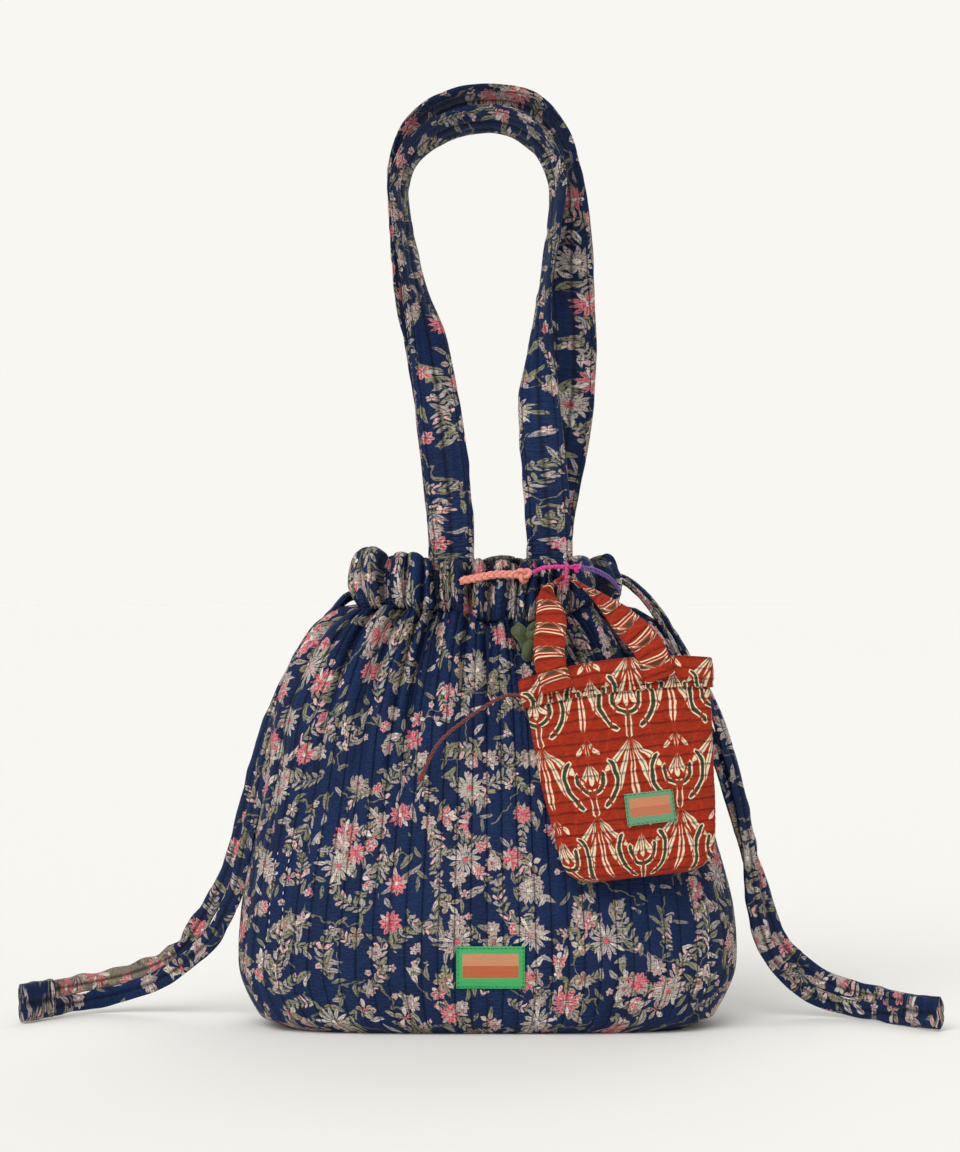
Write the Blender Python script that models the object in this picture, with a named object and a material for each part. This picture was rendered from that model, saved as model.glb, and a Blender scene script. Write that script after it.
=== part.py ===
"""A quilted drawstring bag (kinchaku) with two carrying handles, doubled drawstring tails at both
sides and a small drawstring charm pouch tied to its mouth.

Metres, +Z up. The origin is the middle of the flat base, and the front of the bag faces -Y.
"""

import math

import bpy
import numpy as np

# Bag body
BODY_HALF_WIDTH = 0.179
BODY_HALF_DEPTH = 0.073
BASE_HALF_WIDTH = 0.146
BASE_HALF_DEPTH = 0.056
BODY_WALL = 0.004
SEAM_HEIGHT = 0.304
SEAM_HALF_WIDTH = 0.097
SEAM_HALF_DEPTH = 0.050
FOLDS = 18
FOLD_DEPTH = 0.0032
FOLD_START = 0.45
POINTS_PER_FOLD = 5

# Casing at the mouth, where the drawstrings run
NECK_HALF_WIDTH = 0.0835
NECK_HALF_DEPTH = 0.0400
NECK_WALL = 0.003
NECK_FOLD_DEPTH = 0.0012
CASING_HEIGHT = 0.032
CASING_WALL = 0.0030
CASING_PUFF = 0.0040
CASING_FOLD_DEPTH = 0.0014
CASING_END_GAP = 0.0155
LEFT_PUFF_RISE = 0.008
LEFT_PUFF_PLACE = -0.185
LEFT_PUFF_SPREAD = 0.045

# Drawstrings
TUNNEL = 0.0045
CHANNEL_MARGIN = 0.0009
TAIL_WIDTH = 0.024
TAIL_TIP_WIDTH = 0.028
TAIL_THICKNESS = 0.007

# Handles
HANDLE_WIDTH = 0.033
HANDLE_THICKNESS = 0.0045
HANDLE_RISE = 0.340
HANDLE_LAP = 0.034
HANDLE_BASE_DEPTH = 0.0296

# Front label
LABEL_WIDTH = 0.0485
LABEL_HEIGHT = 0.0300
LABEL_THICKNESS = 0.0012
LABEL_STANDOFF = 0.0009
LABEL_CENTRE_X = 0.0025
LABEL_CENTRE_Z = 0.049

# Charm pouch, hung from a loop of cord
CHARM_TOP_HALF_WIDTH = 0.066
CHARM_BASE_HALF_WIDTH = 0.057
CHARM_HEIGHT = 0.148
CHARM_HALF_DEPTH = 0.0100
CHARM_WALL = 0.0020
CHARM_TILT = math.radians(6.5)
CHARM_LEAN = math.radians(5.3)
CHARM_MOUTH = (0.091, -0.0770, 0.2610)
CHARM_CROWN = 0.006
BAND_HEIGHT = 0.021
BAND_WALL = 0.0018
CHARM_STRAP_WIDTH = 0.022
CHARM_STRAP_PINCH = 0.0082
CHARM_STRAP_THICKNESS = 0.0030
CHARM_LABEL_WIDTH = 0.036
CHARM_LABEL_HEIGHT = 0.024
CHARM_LABEL_DROP = 0.098
CHARM_LABEL_SIDE = 0.012
CHARM_CORD_DIAMETER = 0.0035

# Tie cords at the mouth
BRAID_DIAMETER = 0.0056
TIE_DIAMETER = 0.0030
RIBBON_DIAMETER = 0.0120
TIE_PLACE = (0.0560, -0.0660, 0.3325)
LOOP_PLACE = (0.0560, -0.0690, 0.3252)
HANGING_LOOP_DIAMETER = 0.0020
HANGING_LOOP_HALF_DEPTH = 0.0100
HANGING_LOOP_SLACK = 0.0009

GAP = 0.0003

# Seen from above, a place on the body's outline is the share of the way round it from the front's
# middle: a quarter is the right side, a half the back's middle and three quarters the left side.
RIGHT, BACK, LEFT = 0.25, 0.5, 0.75

MOUTH_Z = SEAM_HEIGHT + CASING_HEIGHT
LEDGE_Z = SEAM_HEIGHT + NECK_WALL


def smooth(xs, ys, x):
    """A smooth curve through the points (xs, ys), read at x, with no overshoot between them."""
    xs, ys = np.asarray(xs, float), np.asarray(ys, float)
    steps = np.diff(ys) / np.diff(xs)
    slopes = np.concatenate([[steps[0]], np.zeros(len(xs) - 2), [steps[-1]]])
    same_way = steps[:-1] * steps[1:] > 0
    harmonic = 2 * steps[:-1] * steps[1:] / np.where(same_way, steps[:-1] + steps[1:], 1)
    slopes[1:-1] = np.where(same_way, harmonic, 0)
    i = np.clip(np.searchsorted(xs, x) - 1, 0, len(xs) - 2)
    h = xs[i + 1] - xs[i]
    t = np.clip((x - xs[i]) / h, 0, 1)
    return (
        ys[i] * (2 * t**3 - 3 * t**2 + 1)
        + ys[i + 1] * (3 * t**2 - 2 * t**3)
        + slopes[i] * h * (t**3 - 2 * t**2 + t)
        + slopes[i + 1] * h * (t**3 - t**2)
    )


def along(route, count):
    """Rows read evenly along a smooth curve through the route's rows, whose first three columns are
    a place and whose other columns go with it."""
    route = np.asarray(route, float)
    reach = np.concatenate([[0], np.cumsum(np.linalg.norm(np.diff(route[:, :3], axis=0), axis=1))])
    at = np.linspace(0, reach[-1], count)
    steps = np.diff(route, axis=0) / np.diff(reach)[:, None]
    slopes = np.vstack([steps[:1], (steps[:-1] + steps[1:]) / 2, steps[-1:]])
    i = np.clip(np.searchsorted(reach, at) - 1, 0, len(reach) - 2)
    h = (reach[i + 1] - reach[i])[:, None]
    t = ((at - reach[i])[:, None]) / h
    return (
        route[i] * (2 * t**3 - 3 * t**2 + 1)
        + route[i + 1] * (3 * t**2 - 2 * t**3)
        + slopes[i] * h * (t**3 - 2 * t**2 + t)
        + slopes[i + 1] * h * (t**3 - t**2)
    )


def add_node(name, points, faces, material):
    """One closed mesh object, shaded smooth."""
    mesh = bpy.data.meshes.new(name)
    mesh.from_pydata([tuple(map(float, p)) for p in points], [], faces)
    mesh.validate()
    mesh.materials.append(material)
    mesh.shade_smooth()
    mesh.set_sharp_from_angle(angle=math.radians(50))
    node = bpy.data.objects.new(name, mesh)
    bpy.context.scene.collection.objects.link(node)
    return node


def loft(rings, round_rings=True, closed_path=False):
    """Points and faces between rings of equal length. An open row of rings is capped at both ends,
    a closed path joins its last ring to its first."""
    count, size = len(rings), len(rings[0])
    points = np.concatenate(rings)
    faces = []
    for i in range(count if closed_path else count - 1):
        j = (i + 1) % count
        for k in range(size if round_rings else size - 1):
            m = (k + 1) % size
            faces.append((i * size + k, i * size + m, j * size + m, j * size + k))
    if not closed_path:
        faces.append(tuple(reversed(range(size))))
        faces.append(tuple((count - 1) * size + k for k in range(size)))
    return points, faces


def make_material(name, colour, roughness):
    material = bpy.data.materials.new(name)
    material.use_nodes = True
    shader = material.node_tree.nodes["Principled BSDF"]
    shader.inputs["Base Color"].default_value = (*colour, 1)
    shader.inputs["Roughness"].default_value = roughness
    shader.inputs["Metallic"].default_value = 0
    material.diffuse_color = (*colour, 1)
    return material


# The bag's outline


def body_half_width(z):
    return smooth(
        [0, 0.03, 0.16, 0.27, 0.54, 0.72, 0.87, 0.94, 1],
        [
            BASE_HALF_WIDTH,
            BODY_HALF_WIDTH * 0.92,
            BODY_HALF_WIDTH,
            BODY_HALF_WIDTH * 0.988,
            BODY_HALF_WIDTH * 0.895,
            BODY_HALF_WIDTH * 0.838,
            BODY_HALF_WIDTH * 0.725,
            SEAM_HALF_WIDTH + (BODY_HALF_WIDTH - SEAM_HALF_WIDTH) * 0.22,
            SEAM_HALF_WIDTH,
        ],
        np.clip(z / SEAM_HEIGHT, 0, 1),
    )


def body_half_depth(z):
    return smooth(
        [0, 0.03, 0.18, 0.36, 0.7, 0.87, 1],
        [
            BASE_HALF_DEPTH,
            BODY_HALF_DEPTH * 0.90,
            BODY_HALF_DEPTH,
            BODY_HALF_DEPTH,
            BODY_HALF_DEPTH * 0.88,
            BODY_HALF_DEPTH * 0.76,
            SEAM_HALF_DEPTH,
        ],
        np.clip(z / SEAM_HEIGHT, 0, 1),
    )


def outline(half_width, half_depth, squareness, places, push=0.0):
    """Points of a rounded-box outline at the given places round it, each pushed out by push along
    the outline's outward direction. Returns x and y."""
    angle = np.linspace(-math.pi / 2, 1.5 * math.pi, 1441)
    cos, sin = np.cos(angle), np.sin(angle)
    x = half_width * np.sign(cos) * np.abs(cos) ** (2 / squareness)
    y = half_depth * np.sign(sin) * np.abs(sin) ** (2 / squareness)
    reach = np.concatenate([[0], np.cumsum(np.hypot(np.diff(x), np.diff(y)))])
    at = (np.asarray(places) % 1.0) * reach[-1]
    step = reach[-1] / 400
    px, py = np.interp(at, reach, x), np.interp(at, reach, y)
    ahead, behind = (at + step) % reach[-1], (at - step) % reach[-1]
    tx = np.interp(ahead, reach, x) - np.interp(behind, reach, x)
    ty = np.interp(ahead, reach, y) - np.interp(behind, reach, y)
    size = np.hypot(tx, ty)
    return px + push * ty / size, py - push * tx / size


def fold_wave(places):
    return np.cos(2 * math.pi * FOLDS * np.asarray(places))


def body_ring(z, places, inset=0.0, depth_share=1.0):
    """A ring of the gathered body below the seam. The folds deepen towards the seam."""
    fade = np.clip((z / SEAM_HEIGHT - FOLD_START) / (1 - FOLD_START), 0, 1)
    push = depth_share * FOLD_DEPTH * fade**1.5 * fold_wave(places) - inset
    squareness = smooth([0, 0.5, 1], [3.6, 2.9, 3.0], np.clip(z / SEAM_HEIGHT, 0, 1))
    x, y = outline(body_half_width(z), body_half_depth(z), squareness, places, push)
    return np.column_stack([x, y, np.full(len(places), z)])


def neck_ring(z, places, out=0.0, extra_folds=0.0, rise=0.0):
    """A ring of the standing mouth above the seam, out metres outside its wall."""
    push = out + (NECK_FOLD_DEPTH + extra_folds) * fold_wave(places)
    x, y = outline(NECK_HALF_WIDTH, NECK_HALF_DEPTH, 3.4, places, push)
    return np.column_stack([x, y, z + np.broadcast_to(rise, len(places))])


def columns_between(start, end):
    """Places from start to end, with every column of the shell that lies between them."""
    count = FOLDS * POINTS_PER_FOLD
    inside = np.arange(math.floor(start * count) + 1, math.ceil(end * count)) / count
    apart = 0.25 / count
    inside = inside[(inside > start + apart) & (inside < end - apart)]
    return np.concatenate([[start], inside, [end]])


def neck_perimeter():
    x, y = outline(NECK_HALF_WIDTH, NECK_HALF_DEPTH, 3.4, np.linspace(0, 0.9999, 400))
    return float(np.hypot(np.diff(x, append=x[0]), np.diff(y, append=y[0])).sum())


def build_body(material):
    """The quilted shell: outside from the base up to the mouth, then inside back down."""
    places = np.arange(FOLDS * POINTS_PER_FOLD) / (FOLDS * POINTS_PER_FOLD)
    heights = [0, 0.012, 0.035, 0.085, 0.16, 0.27, 0.4, 0.52]
    heights += [0.62, 0.7, 0.77, 0.83, 0.88, 0.92, 0.96, 1]
    rings = [body_ring(SEAM_HEIGHT * share, places) for share in heights]
    rings.append(neck_ring(LEDGE_Z, places))
    rings.append(neck_ring(MOUTH_Z - CASING_WALL, places))
    rings.append(neck_ring(MOUTH_Z - CASING_WALL, places, -NECK_WALL))
    rings.append(neck_ring(LEDGE_Z - BODY_WALL, places, -NECK_WALL))
    for share in (0.95, 0.88, 0.77, 0.62, 0.4, 0.16, 0.06):
        rings.append(body_ring(SEAM_HEIGHT * share, places, BODY_WALL, 0.5))
    floor = body_ring(BODY_WALL, places, BODY_WALL * 2)
    rings.append(floor)
    return add_node("body_shell", *loft(rings), material)


def casing_section():
    """The casing's section as (out, z) pairs: a puffed outer wall and a lip over the tunnel."""
    inner = GAP + TUNNEL + GAP
    low = LEDGE_Z + GAP
    top = MOUTH_Z
    outer = inner + CASING_WALL
    height = top - low
    return [
        (inner, low),
        (inner, top - CASING_WALL * 1.7),
        (GAP, top - CASING_WALL * 1.2),
        (GAP, top),
        (inner * 0.8, top + CASING_WALL * 0.9),
        (outer + CASING_PUFF * 0.55, top - height * 0.12),
        (outer + CASING_PUFF, top - height * 0.42),
        (outer + CASING_PUFF * 0.75, low + height * 0.22),
        (outer, low),
    ]


def build_casing(name, start, end, material):
    """One half of the casing, between two places round the mouth."""
    end_gap = CASING_END_GAP / neck_perimeter()
    places = columns_between(start + end_gap, end - end_gap)
    puff = LEFT_PUFF_RISE * np.exp(-(((places - LEFT_PUFF_PLACE) / LEFT_PUFF_SPREAD) ** 2))
    rows = []
    for number, (out, z) in enumerate(casing_section()):
        outside = number >= 4
        extra = CASING_FOLD_DEPTH if outside else 0.0
        lift = puff if number in (4, 5) else puff * 0.4 if number == 6 else 0.0
        rows.append(neck_ring(z, places, out, extra, lift))
    rings = [np.array([row[i] for row in rows]) for i in range(len(places))]
    return add_node(name, *loft(rings), material)


def build_channel_strap(name, exit_place, low, high, material):
    """A drawstring's run inside the tunnel, open at the side where its tail leaves."""
    end_gap = CASING_END_GAP / neck_perimeter()
    places = columns_between(exit_place + end_gap, exit_place + 1 - end_gap)
    inner_low, inner_high = neck_ring(low, places, GAP), neck_ring(high, places, GAP)
    outer_high = neck_ring(high, places, GAP + TUNNEL)
    outer_low = neck_ring(low, places, GAP + TUNNEL)
    rings = [
        np.array([inner_low[i], inner_high[i], outer_high[i], outer_low[i]])
        for i in range(len(places))
    ]
    return add_node(name, *loft(rings), material)


# Straps


def strap_rings(rows):
    """Eight-sided sections along rows of (x, y, z, turn, width, thickness). With no turn the width
    lies in the plane of the picture, and with a quarter turn it lies along Y."""
    places, turns = rows[:, :3], rows[:, 3]
    tangents = np.gradient(places, axis=0)
    tangents /= np.linalg.norm(tangents, axis=1)[:, None]
    depth = np.array([0.0, 1.0, 0.0])
    flat = np.cross(depth, tangents)
    flat /= np.linalg.norm(flat, axis=1)[:, None]
    across = np.cos(turns)[:, None] * flat + np.sin(turns)[:, None] * depth
    across -= (across * tangents).sum(axis=1)[:, None] * tangents
    across /= np.linalg.norm(across, axis=1)[:, None]
    facing = np.cross(tangents, across)
    section = [(-0.5, 0.22), (-0.32, 0.5), (0.32, 0.5), (0.5, 0.22)]
    section += [(0.5, -0.22), (0.32, -0.5), (-0.32, -0.5), (-0.5, -0.22)]
    return [
        np.array([
            places[i] + across[i] * (u * rows[i, 4]) + facing[i] * (v * rows[i, 5])
            for u, v in section
        ])
        for i in range(len(rows))
    ]


def outward(points, faces):
    """The same mesh with its faces turned to point out of the solid."""
    total = 0.0
    for face in faces:
        for k in range(1, len(face) - 1):
            total += np.dot(points[face[0]], np.cross(points[face[k]], points[face[k + 1]]))
    return faces if total > 0 else [tuple(reversed(face)) for face in faces]


def build_strap(name, route, count, material):
    points, faces = loft(strap_rings(along(route, count)))
    return add_node(name, points, outward(points, faces), material)


def handle_route(shape, side):
    """A handle's route from its listed shape: side is -1 for the front strap, 1 for the back."""
    rows = []
    for x, rise, depth_share, turn in shape:
        y = side * HANDLE_BASE_DEPTH * depth_share
        z = MOUTH_Z + HANDLE_RISE * rise
        rows.append((x, y, z, math.radians(turn), HANDLE_WIDTH, HANDLE_THICKNESS))
    lap = HANDLE_LAP / HANDLE_RISE
    first, last = rows[0], rows[-1]
    down = -lap * HANDLE_RISE
    return [
        (first[0], first[1], MOUTH_Z + down, *first[3:]),
        *rows,
        (last[0], last[1], MOUTH_Z + down, *last[3:]),
    ]


# Each handle leg from its seam at the left to its seam at the right: the place across the bag, the
# share of the handle's rise, how far it keeps to its own side of the mouth, and its turn in degrees.
FRONT_HANDLE = [
    (-0.0255, 0.015, 1.00, 0),
    (-0.0277, 0.150, 1.00, 4),
    (-0.0328, 0.270, 0.90, 10),
    (-0.0380, 0.385, 0.75, 22),
    (-0.0438, 0.485, 0.58, 38),
    (-0.0511, 0.565, 0.42, 58),
    (-0.0585, 0.670, 0.36, 66),
    (-0.0628, 0.755, 0.34, 70),
    (-0.0636, 0.815, 0.32, 70),
    (-0.0556, 0.875, 0.30, 66),
    (-0.0307, 0.928, 0.30, 62),
    (0.0022, 0.948, 0.30, 62),
    (0.0265, 0.928, 0.30, 62),
    (0.0445, 0.876, 0.30, 65),
    (0.0514, 0.815, 0.32, 72),
    (0.0506, 0.755, 0.34, 76),
    (0.0438, 0.620, 0.42, 80),
    (0.0402, 0.530, 0.62, 74),
    (0.0385, 0.450, 0.80, 58),
    (0.0375, 0.370, 0.92, 36),
    (0.0385, 0.290, 1.00, 20),
    (0.0412, 0.200, 1.00, 8),
    (0.0438, 0.110, 1.00, 0),
    (0.0455, 0.015, 1.00, 0),
]
BACK_HANDLE = [
    (-0.0265, 0.015, 1.00, 0),
    (-0.0299, 0.150, 1.00, 4),
    (-0.0343, 0.270, 0.90, 10),
    (-0.0401, 0.385, 0.75, 22),
    (-0.0482, 0.485, 0.58, 38),
    (-0.0577, 0.565, 0.42, 58),
    (-0.0622, 0.670, 0.36, 66),
    (-0.0648, 0.755, 0.34, 69),
    (-0.0650, 0.845, 0.32, 68),
    (-0.0545, 0.925, 0.30, 62),
    (-0.0335, 0.978, 0.30, 62),
    (0.0000, 1.000, 0.30, 62),
    (0.0340, 0.980, 0.30, 62),
    (0.0520, 0.915, 0.30, 62),
    (0.0597, 0.838, 0.32, 60),
    (0.0632, 0.755, 0.36, 52),
    (0.0630, 0.680, 0.36, 33),
    (0.0622, 0.610, 0.54, 13),
    (0.0636, 0.530, 0.70, 5),
    (0.0643, 0.450, 0.84, 2),
    (0.0630, 0.370, 0.94, 0),
    (0.0590, 0.270, 1.00, 0),
    (0.0528, 0.170, 1.00, 0),
    (0.0478, 0.090, 1.00, 0),
    (0.0458, 0.015, 1.00, 0),
]

# Each tail's route after it leaves the casing: place, turn in degrees, and how far along it has
# grown from its own width to the width of its end loop.
LEFT_TAIL = [
    (-0.1010, 0.000, 0.3105, 90, 0.0),
    (-0.1115, 0.000, 0.3020, 84, 0.0),
    (-0.1262, 0.000, 0.2855, 68, 0.0),
    (-0.1405, 0.000, 0.2640, 60, 0.0),
    (-0.1545, -0.002, 0.2350, 54, 0.0),
    (-0.1655, -0.004, 0.2040, 50, 0.0),
    (-0.1750, -0.004, 0.1640, 44, 0.1),
    (-0.1815, -0.002, 0.1340, 40, 0.2),
    (-0.1870, 0.004, 0.1090, 34, 0.3),
    (-0.1935, 0.012, 0.0890, 26, 0.4),
    (-0.2035, 0.022, 0.0705, 16, 0.5),
    (-0.2170, 0.032, 0.0520, 8, 0.6),
    (-0.2340, 0.042, 0.0375, 2, 0.7),
    (-0.2560, 0.050, 0.0265, 0, 0.8),
    (-0.2785, 0.054, 0.0195, 0, 0.9),
    (-0.2988, 0.047, 0.0160, 0, 1.0),
    (-0.3178, 0.028, 0.0148, 0, 1.0),
    (-0.3390, -0.004, 0.0146, 0, 1.0),
]
RIGHT_TAIL = [
    (0.1010, 0.000, 0.3225, 90, 0.0),
    (0.1125, 0.000, 0.3130, 90, 0.0),
    (0.1270, 0.000, 0.2945, 90, 0.0),
    (0.1440, 0.000, 0.2640, 98, 0.0),
    (0.1590, -0.002, 0.2330, 115, 0.0),
    (0.1700, -0.004, 0.2010, 128, 0.0),
    (0.1795, -0.004, 0.1695, 135, 0.0),
    (0.1875, -0.002, 0.1400, 140, 0.0),
    (0.1945, 0.004, 0.1080, 146, 0.0),
    (0.2015, 0.012, 0.0790, 154, 0.0),
    (0.2100, 0.020, 0.0565, 164, 0.0),
    (0.2240, 0.027, 0.0370, 174, 0.0),
    (0.2430, 0.030, 0.0225, 180, 0.0),
    (0.2640, 0.024, 0.0150, 180, 0.0),
    (0.2860, 0.006, 0.0128, 180, 0.0),
    (0.3045, -0.018, 0.0124, 180, 0.0),
    (0.3240, -0.045, 0.0124, 180, 0.0),
]


def tail_route(shape, side, exit_z):
    """A tail's route: straight out of the tunnel at its side, then over the listed places."""
    x = side * (NECK_HALF_WIDTH + NECK_FOLD_DEPTH + GAP)
    start = [(x, 0.0, exit_z, math.pi / 2, TAIL_WIDTH, TAIL_THICKNESS)]
    start.append((x + side * 0.006, *start[0][1:]))
    rows = []
    for px, py, pz, turn, grown in shape:
        width = TAIL_WIDTH + (TAIL_TIP_WIDTH - TAIL_WIDTH) * grown
        rows.append((px, py, pz, math.radians(turn), width, TAIL_THICKNESS))
    return start + rows


# Label and charm


def body_front(x, z, out):
    """The place on the front of the body at x and z, out metres off its outside."""
    ring = body_ring(z, np.linspace(-0.2, 0.2, 161), -out, 0.0)
    return (x, float(np.interp(x, ring[:, 0], ring[:, 1])), z)


def build_label(material):
    """A woven label that follows the bag's front."""
    columns = np.linspace(-0.5, 0.5, 7) * LABEL_WIDTH + LABEL_CENTRE_X
    low = LABEL_CENTRE_Z - LABEL_HEIGHT / 2
    high = LABEL_CENTRE_Z + LABEL_HEIGHT / 2
    near, far = LABEL_STANDOFF + LABEL_THICKNESS, LABEL_STANDOFF
    rings = [
        np.array([
            body_front(x, low, near),
            body_front(x, high, near),
            body_front(x, high, far),
            body_front(x, low, far),
        ])
        for x in columns
    ]
    points, faces = loft(rings)
    return add_node("front_label", points, outward(points, faces), material)


def charm_place(side, drop, out):
    """A place on the charm: side across it, drop below its mouth, out in front of its middle."""
    side_tilted = side * math.cos(CHARM_TILT) + drop * math.sin(CHARM_TILT)
    drop_tilted = drop * math.cos(CHARM_TILT) - side * math.sin(CHARM_TILT)
    x = CHARM_MOUTH[0] + side_tilted
    y = CHARM_MOUTH[1] - drop_tilted * math.sin(CHARM_LEAN) - out * math.cos(CHARM_LEAN)
    z = CHARM_MOUTH[2] - drop_tilted * math.cos(CHARM_LEAN) + out * math.sin(CHARM_LEAN)
    return (x, y, z)


def charm_half_width(drop):
    return smooth(
        [0, 0.16, 0.5, 0.8, 0.92, 0.98, 1],
        [
            CHARM_TOP_HALF_WIDTH,
            CHARM_TOP_HALF_WIDTH * 0.985,
            (CHARM_TOP_HALF_WIDTH + CHARM_BASE_HALF_WIDTH) / 2,
            CHARM_BASE_HALF_WIDTH,
            CHARM_BASE_HALF_WIDTH * 0.93,
            CHARM_BASE_HALF_WIDTH * 0.78,
            CHARM_BASE_HALF_WIDTH * 0.60,
        ],
        drop / CHARM_HEIGHT,
    )


def charm_half_depth(drop):
    return smooth(
        [0, 0.3, 0.6, 0.85, 0.96, 1],
        CHARM_HALF_DEPTH * np.array([0.8, 0.95, 1.0, 0.8, 0.5, 0.22]),
        drop / CHARM_HEIGHT,
    )


def charm_ring(drop, inset, count=36):
    """A ring round the charm, inset metres inside its outside. The mouth is crowned."""
    places = np.arange(count) / count
    half_width = charm_half_width(drop) - inset
    half_depth = charm_half_depth(drop) - inset
    x, y = outline(half_width, half_depth, 2.6, places)
    crown = CHARM_CROWN * max(0.0, 1 - drop / (CHARM_HEIGHT * 0.4))
    return np.array([
        charm_place(a, drop - crown * (1 - (a / CHARM_TOP_HALF_WIDTH) ** 2), -b)
        for a, b in zip(x, y, strict=True)
    ])


def build_charm_pouch(material):
    """The charm's hollow pouch, open at its mouth."""
    outer = [1, 0.985, 0.95, 0.87, 0.75, 0.6, 0.42, 0.25, BAND_HEIGHT * 1.05 / CHARM_HEIGHT, 0]
    inner = [0, 0.25, 0.5, 0.75, 0.88, 0.95]
    rings = [charm_ring(share * CHARM_HEIGHT, 0.0) for share in outer[:-1]]
    rings.append(charm_ring(0.0, BAND_WALL * 0.3))
    rings += [charm_ring(share * CHARM_HEIGHT, CHARM_WALL) for share in inner]
    points, faces = loft(rings)
    return add_node("charm_pouch", points, outward(points, faces), material)


def build_charm_band(material):
    """The casing band sewn round the charm's mouth."""
    drops = (0.0, BAND_HEIGHT * 0.5, BAND_HEIGHT)
    rings = [charm_ring(drop, -GAP) for drop in drops]
    for drop, bulge in zip(reversed(drops), (1, 1.3, 1), strict=True):
        rings.append(charm_ring(drop, -GAP - BAND_WALL * bulge))
    points, faces = loft(rings, closed_path=True)
    return add_node("charm_band", points, outward(points, faces), material)


def build_charm_strap(material):
    """The charm's own strap, gathered narrow where it hangs in its loop of cord."""
    seat = CHARM_HALF_DEPTH * 0.8 + BAND_WALL * 1.3 + GAP * 3 + CHARM_STRAP_THICKNESS / 2
    wide, narrow = CHARM_STRAP_WIDTH, CHARM_STRAP_PINCH
    left, right = (-0.043, 0.030)
    left_low, left_high = charm_place(left, 0.012, seat), charm_place(left - 0.003, -0.012, seat)
    right_low, right_high = charm_place(right, 0.012, seat), charm_place(right - 0.006, -0.010, seat)
    hang_x, hang_y, hang_z = LOOP_PLACE
    rows = [
        (*left_low, 0, wide),
        (*left_high, 0, wide),
        (0.0450, left_high[1] + 0.006, 0.2950, 6, wide * 0.98),
        (0.0440, hang_y - 0.006, 0.3130, 40, narrow * 1.9),
        (hang_x - 0.0085, hang_y - 0.001, hang_z - 0.0045, 84, narrow),
        (hang_x, hang_y, hang_z, 90, narrow),
        (hang_x + 0.0095, hang_y - 0.001, hang_z - 0.0050, 96, narrow),
        (0.0790, hang_y - 0.006, 0.3110, 130, narrow * 1.4),
        (0.0970, right_high[1] + 0.004, 0.2940, 165, wide * 0.9),
        (*right_high, 180, wide),
        (*right_low, 180, wide),
    ]
    route = [(*row[:3], math.radians(row[3]), row[4], CHARM_STRAP_THICKNESS) for row in rows]
    return build_strap("charm_strap", route, 34, material)


def build_charm_label(material):
    out = CHARM_HALF_DEPTH * 1.02 + GAP
    rings = []
    for share in np.linspace(-0.5, 0.5, 4):
        side = CHARM_LABEL_SIDE + share * CHARM_LABEL_WIDTH
        low = CHARM_LABEL_DROP + CHARM_LABEL_HEIGHT / 2
        high = CHARM_LABEL_DROP - CHARM_LABEL_HEIGHT / 2
        near = out + LABEL_THICKNESS
        rings.append(np.array([
            charm_place(side, low, near),
            charm_place(side, high, near),
            charm_place(side, high, out),
            charm_place(side, low, out),
        ]))
    points, faces = loft(rings)
    return add_node("charm_label", points, outward(points, faces), material)


# Cords

BRAID_ROUTE = [
    (-0.0190, -0.0572, 0.3225),
    (-0.0080, -0.0573, 0.3245),
    (0.0060, -0.0575, 0.3270),
    (0.0180, -0.0576, 0.3270),
    (0.0300, -0.0578, 0.3268),
]
MAGENTA_ROUTE = [
    (0.0314, -0.0584, 0.3280),
    (0.0400, -0.0635, 0.3318),
    (TIE_PLACE[0], TIE_PLACE[1], TIE_PLACE[2]),
    (0.0655, -0.0655, 0.3318),
]
PURPLE_ROUTE = [
    (0.0668, -0.0640, 0.3316),
    (0.0730, -0.0570, 0.3312),
    (0.0810, -0.0495, 0.3285),
    (0.0890, -0.0405, 0.3235),
    (0.0965, -0.0250, 0.3140),
]
RIBBON_ROUTE = [
    (0.0245, -0.0582, 0.2930),
    (0.0260, -0.0622, 0.2860),
    (0.0290, -0.0638, 0.2780),
    (0.0320, -0.0634, 0.2690),
]
CHARM_CORD_EXIT = charm_place(-CHARM_TOP_HALF_WIDTH - BAND_WALL - GAP * 2, BAND_HEIGHT * 0.55, 0.0)
CHARM_CORD_ROUTE = [
    CHARM_CORD_EXIT,
    (0.0160, -0.0796, 0.2420),
    (0.0060, -0.0800, 0.2385),
    (-0.0060, -0.0795, 0.2310),
    (-0.0198, -0.0790, 0.2211),
    (-0.0290, -0.0790, 0.2135),
    (-0.0360, -0.0790, 0.2055),
    (-0.0415, -0.0790, 0.1950),
    (-0.0470, -0.0790, 0.1825),
]


def build_cord(name, route, diameter, count, material, closed=False):
    """A round cord: a smooth tube through the route's points, with filled ends."""
    curve = bpy.data.curves.new(name, "CURVE")
    curve.dimensions = "3D"
    curve.bevel_depth = diameter / 2
    curve.bevel_resolution = 2
    curve.use_fill_caps = not closed
    spline = curve.splines.new("POLY")
    points = np.asarray(route, float) if closed else along(route, count)
    spline.points.add(len(points) - 1)
    for point, place in zip(spline.points, points, strict=True):
        point.co = (*place, 1)
    spline.use_cyclic_u = closed
    curve.materials.append(material)
    node = bpy.data.objects.new(name, curve)
    bpy.context.scene.collection.objects.link(node)
    return node


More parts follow.
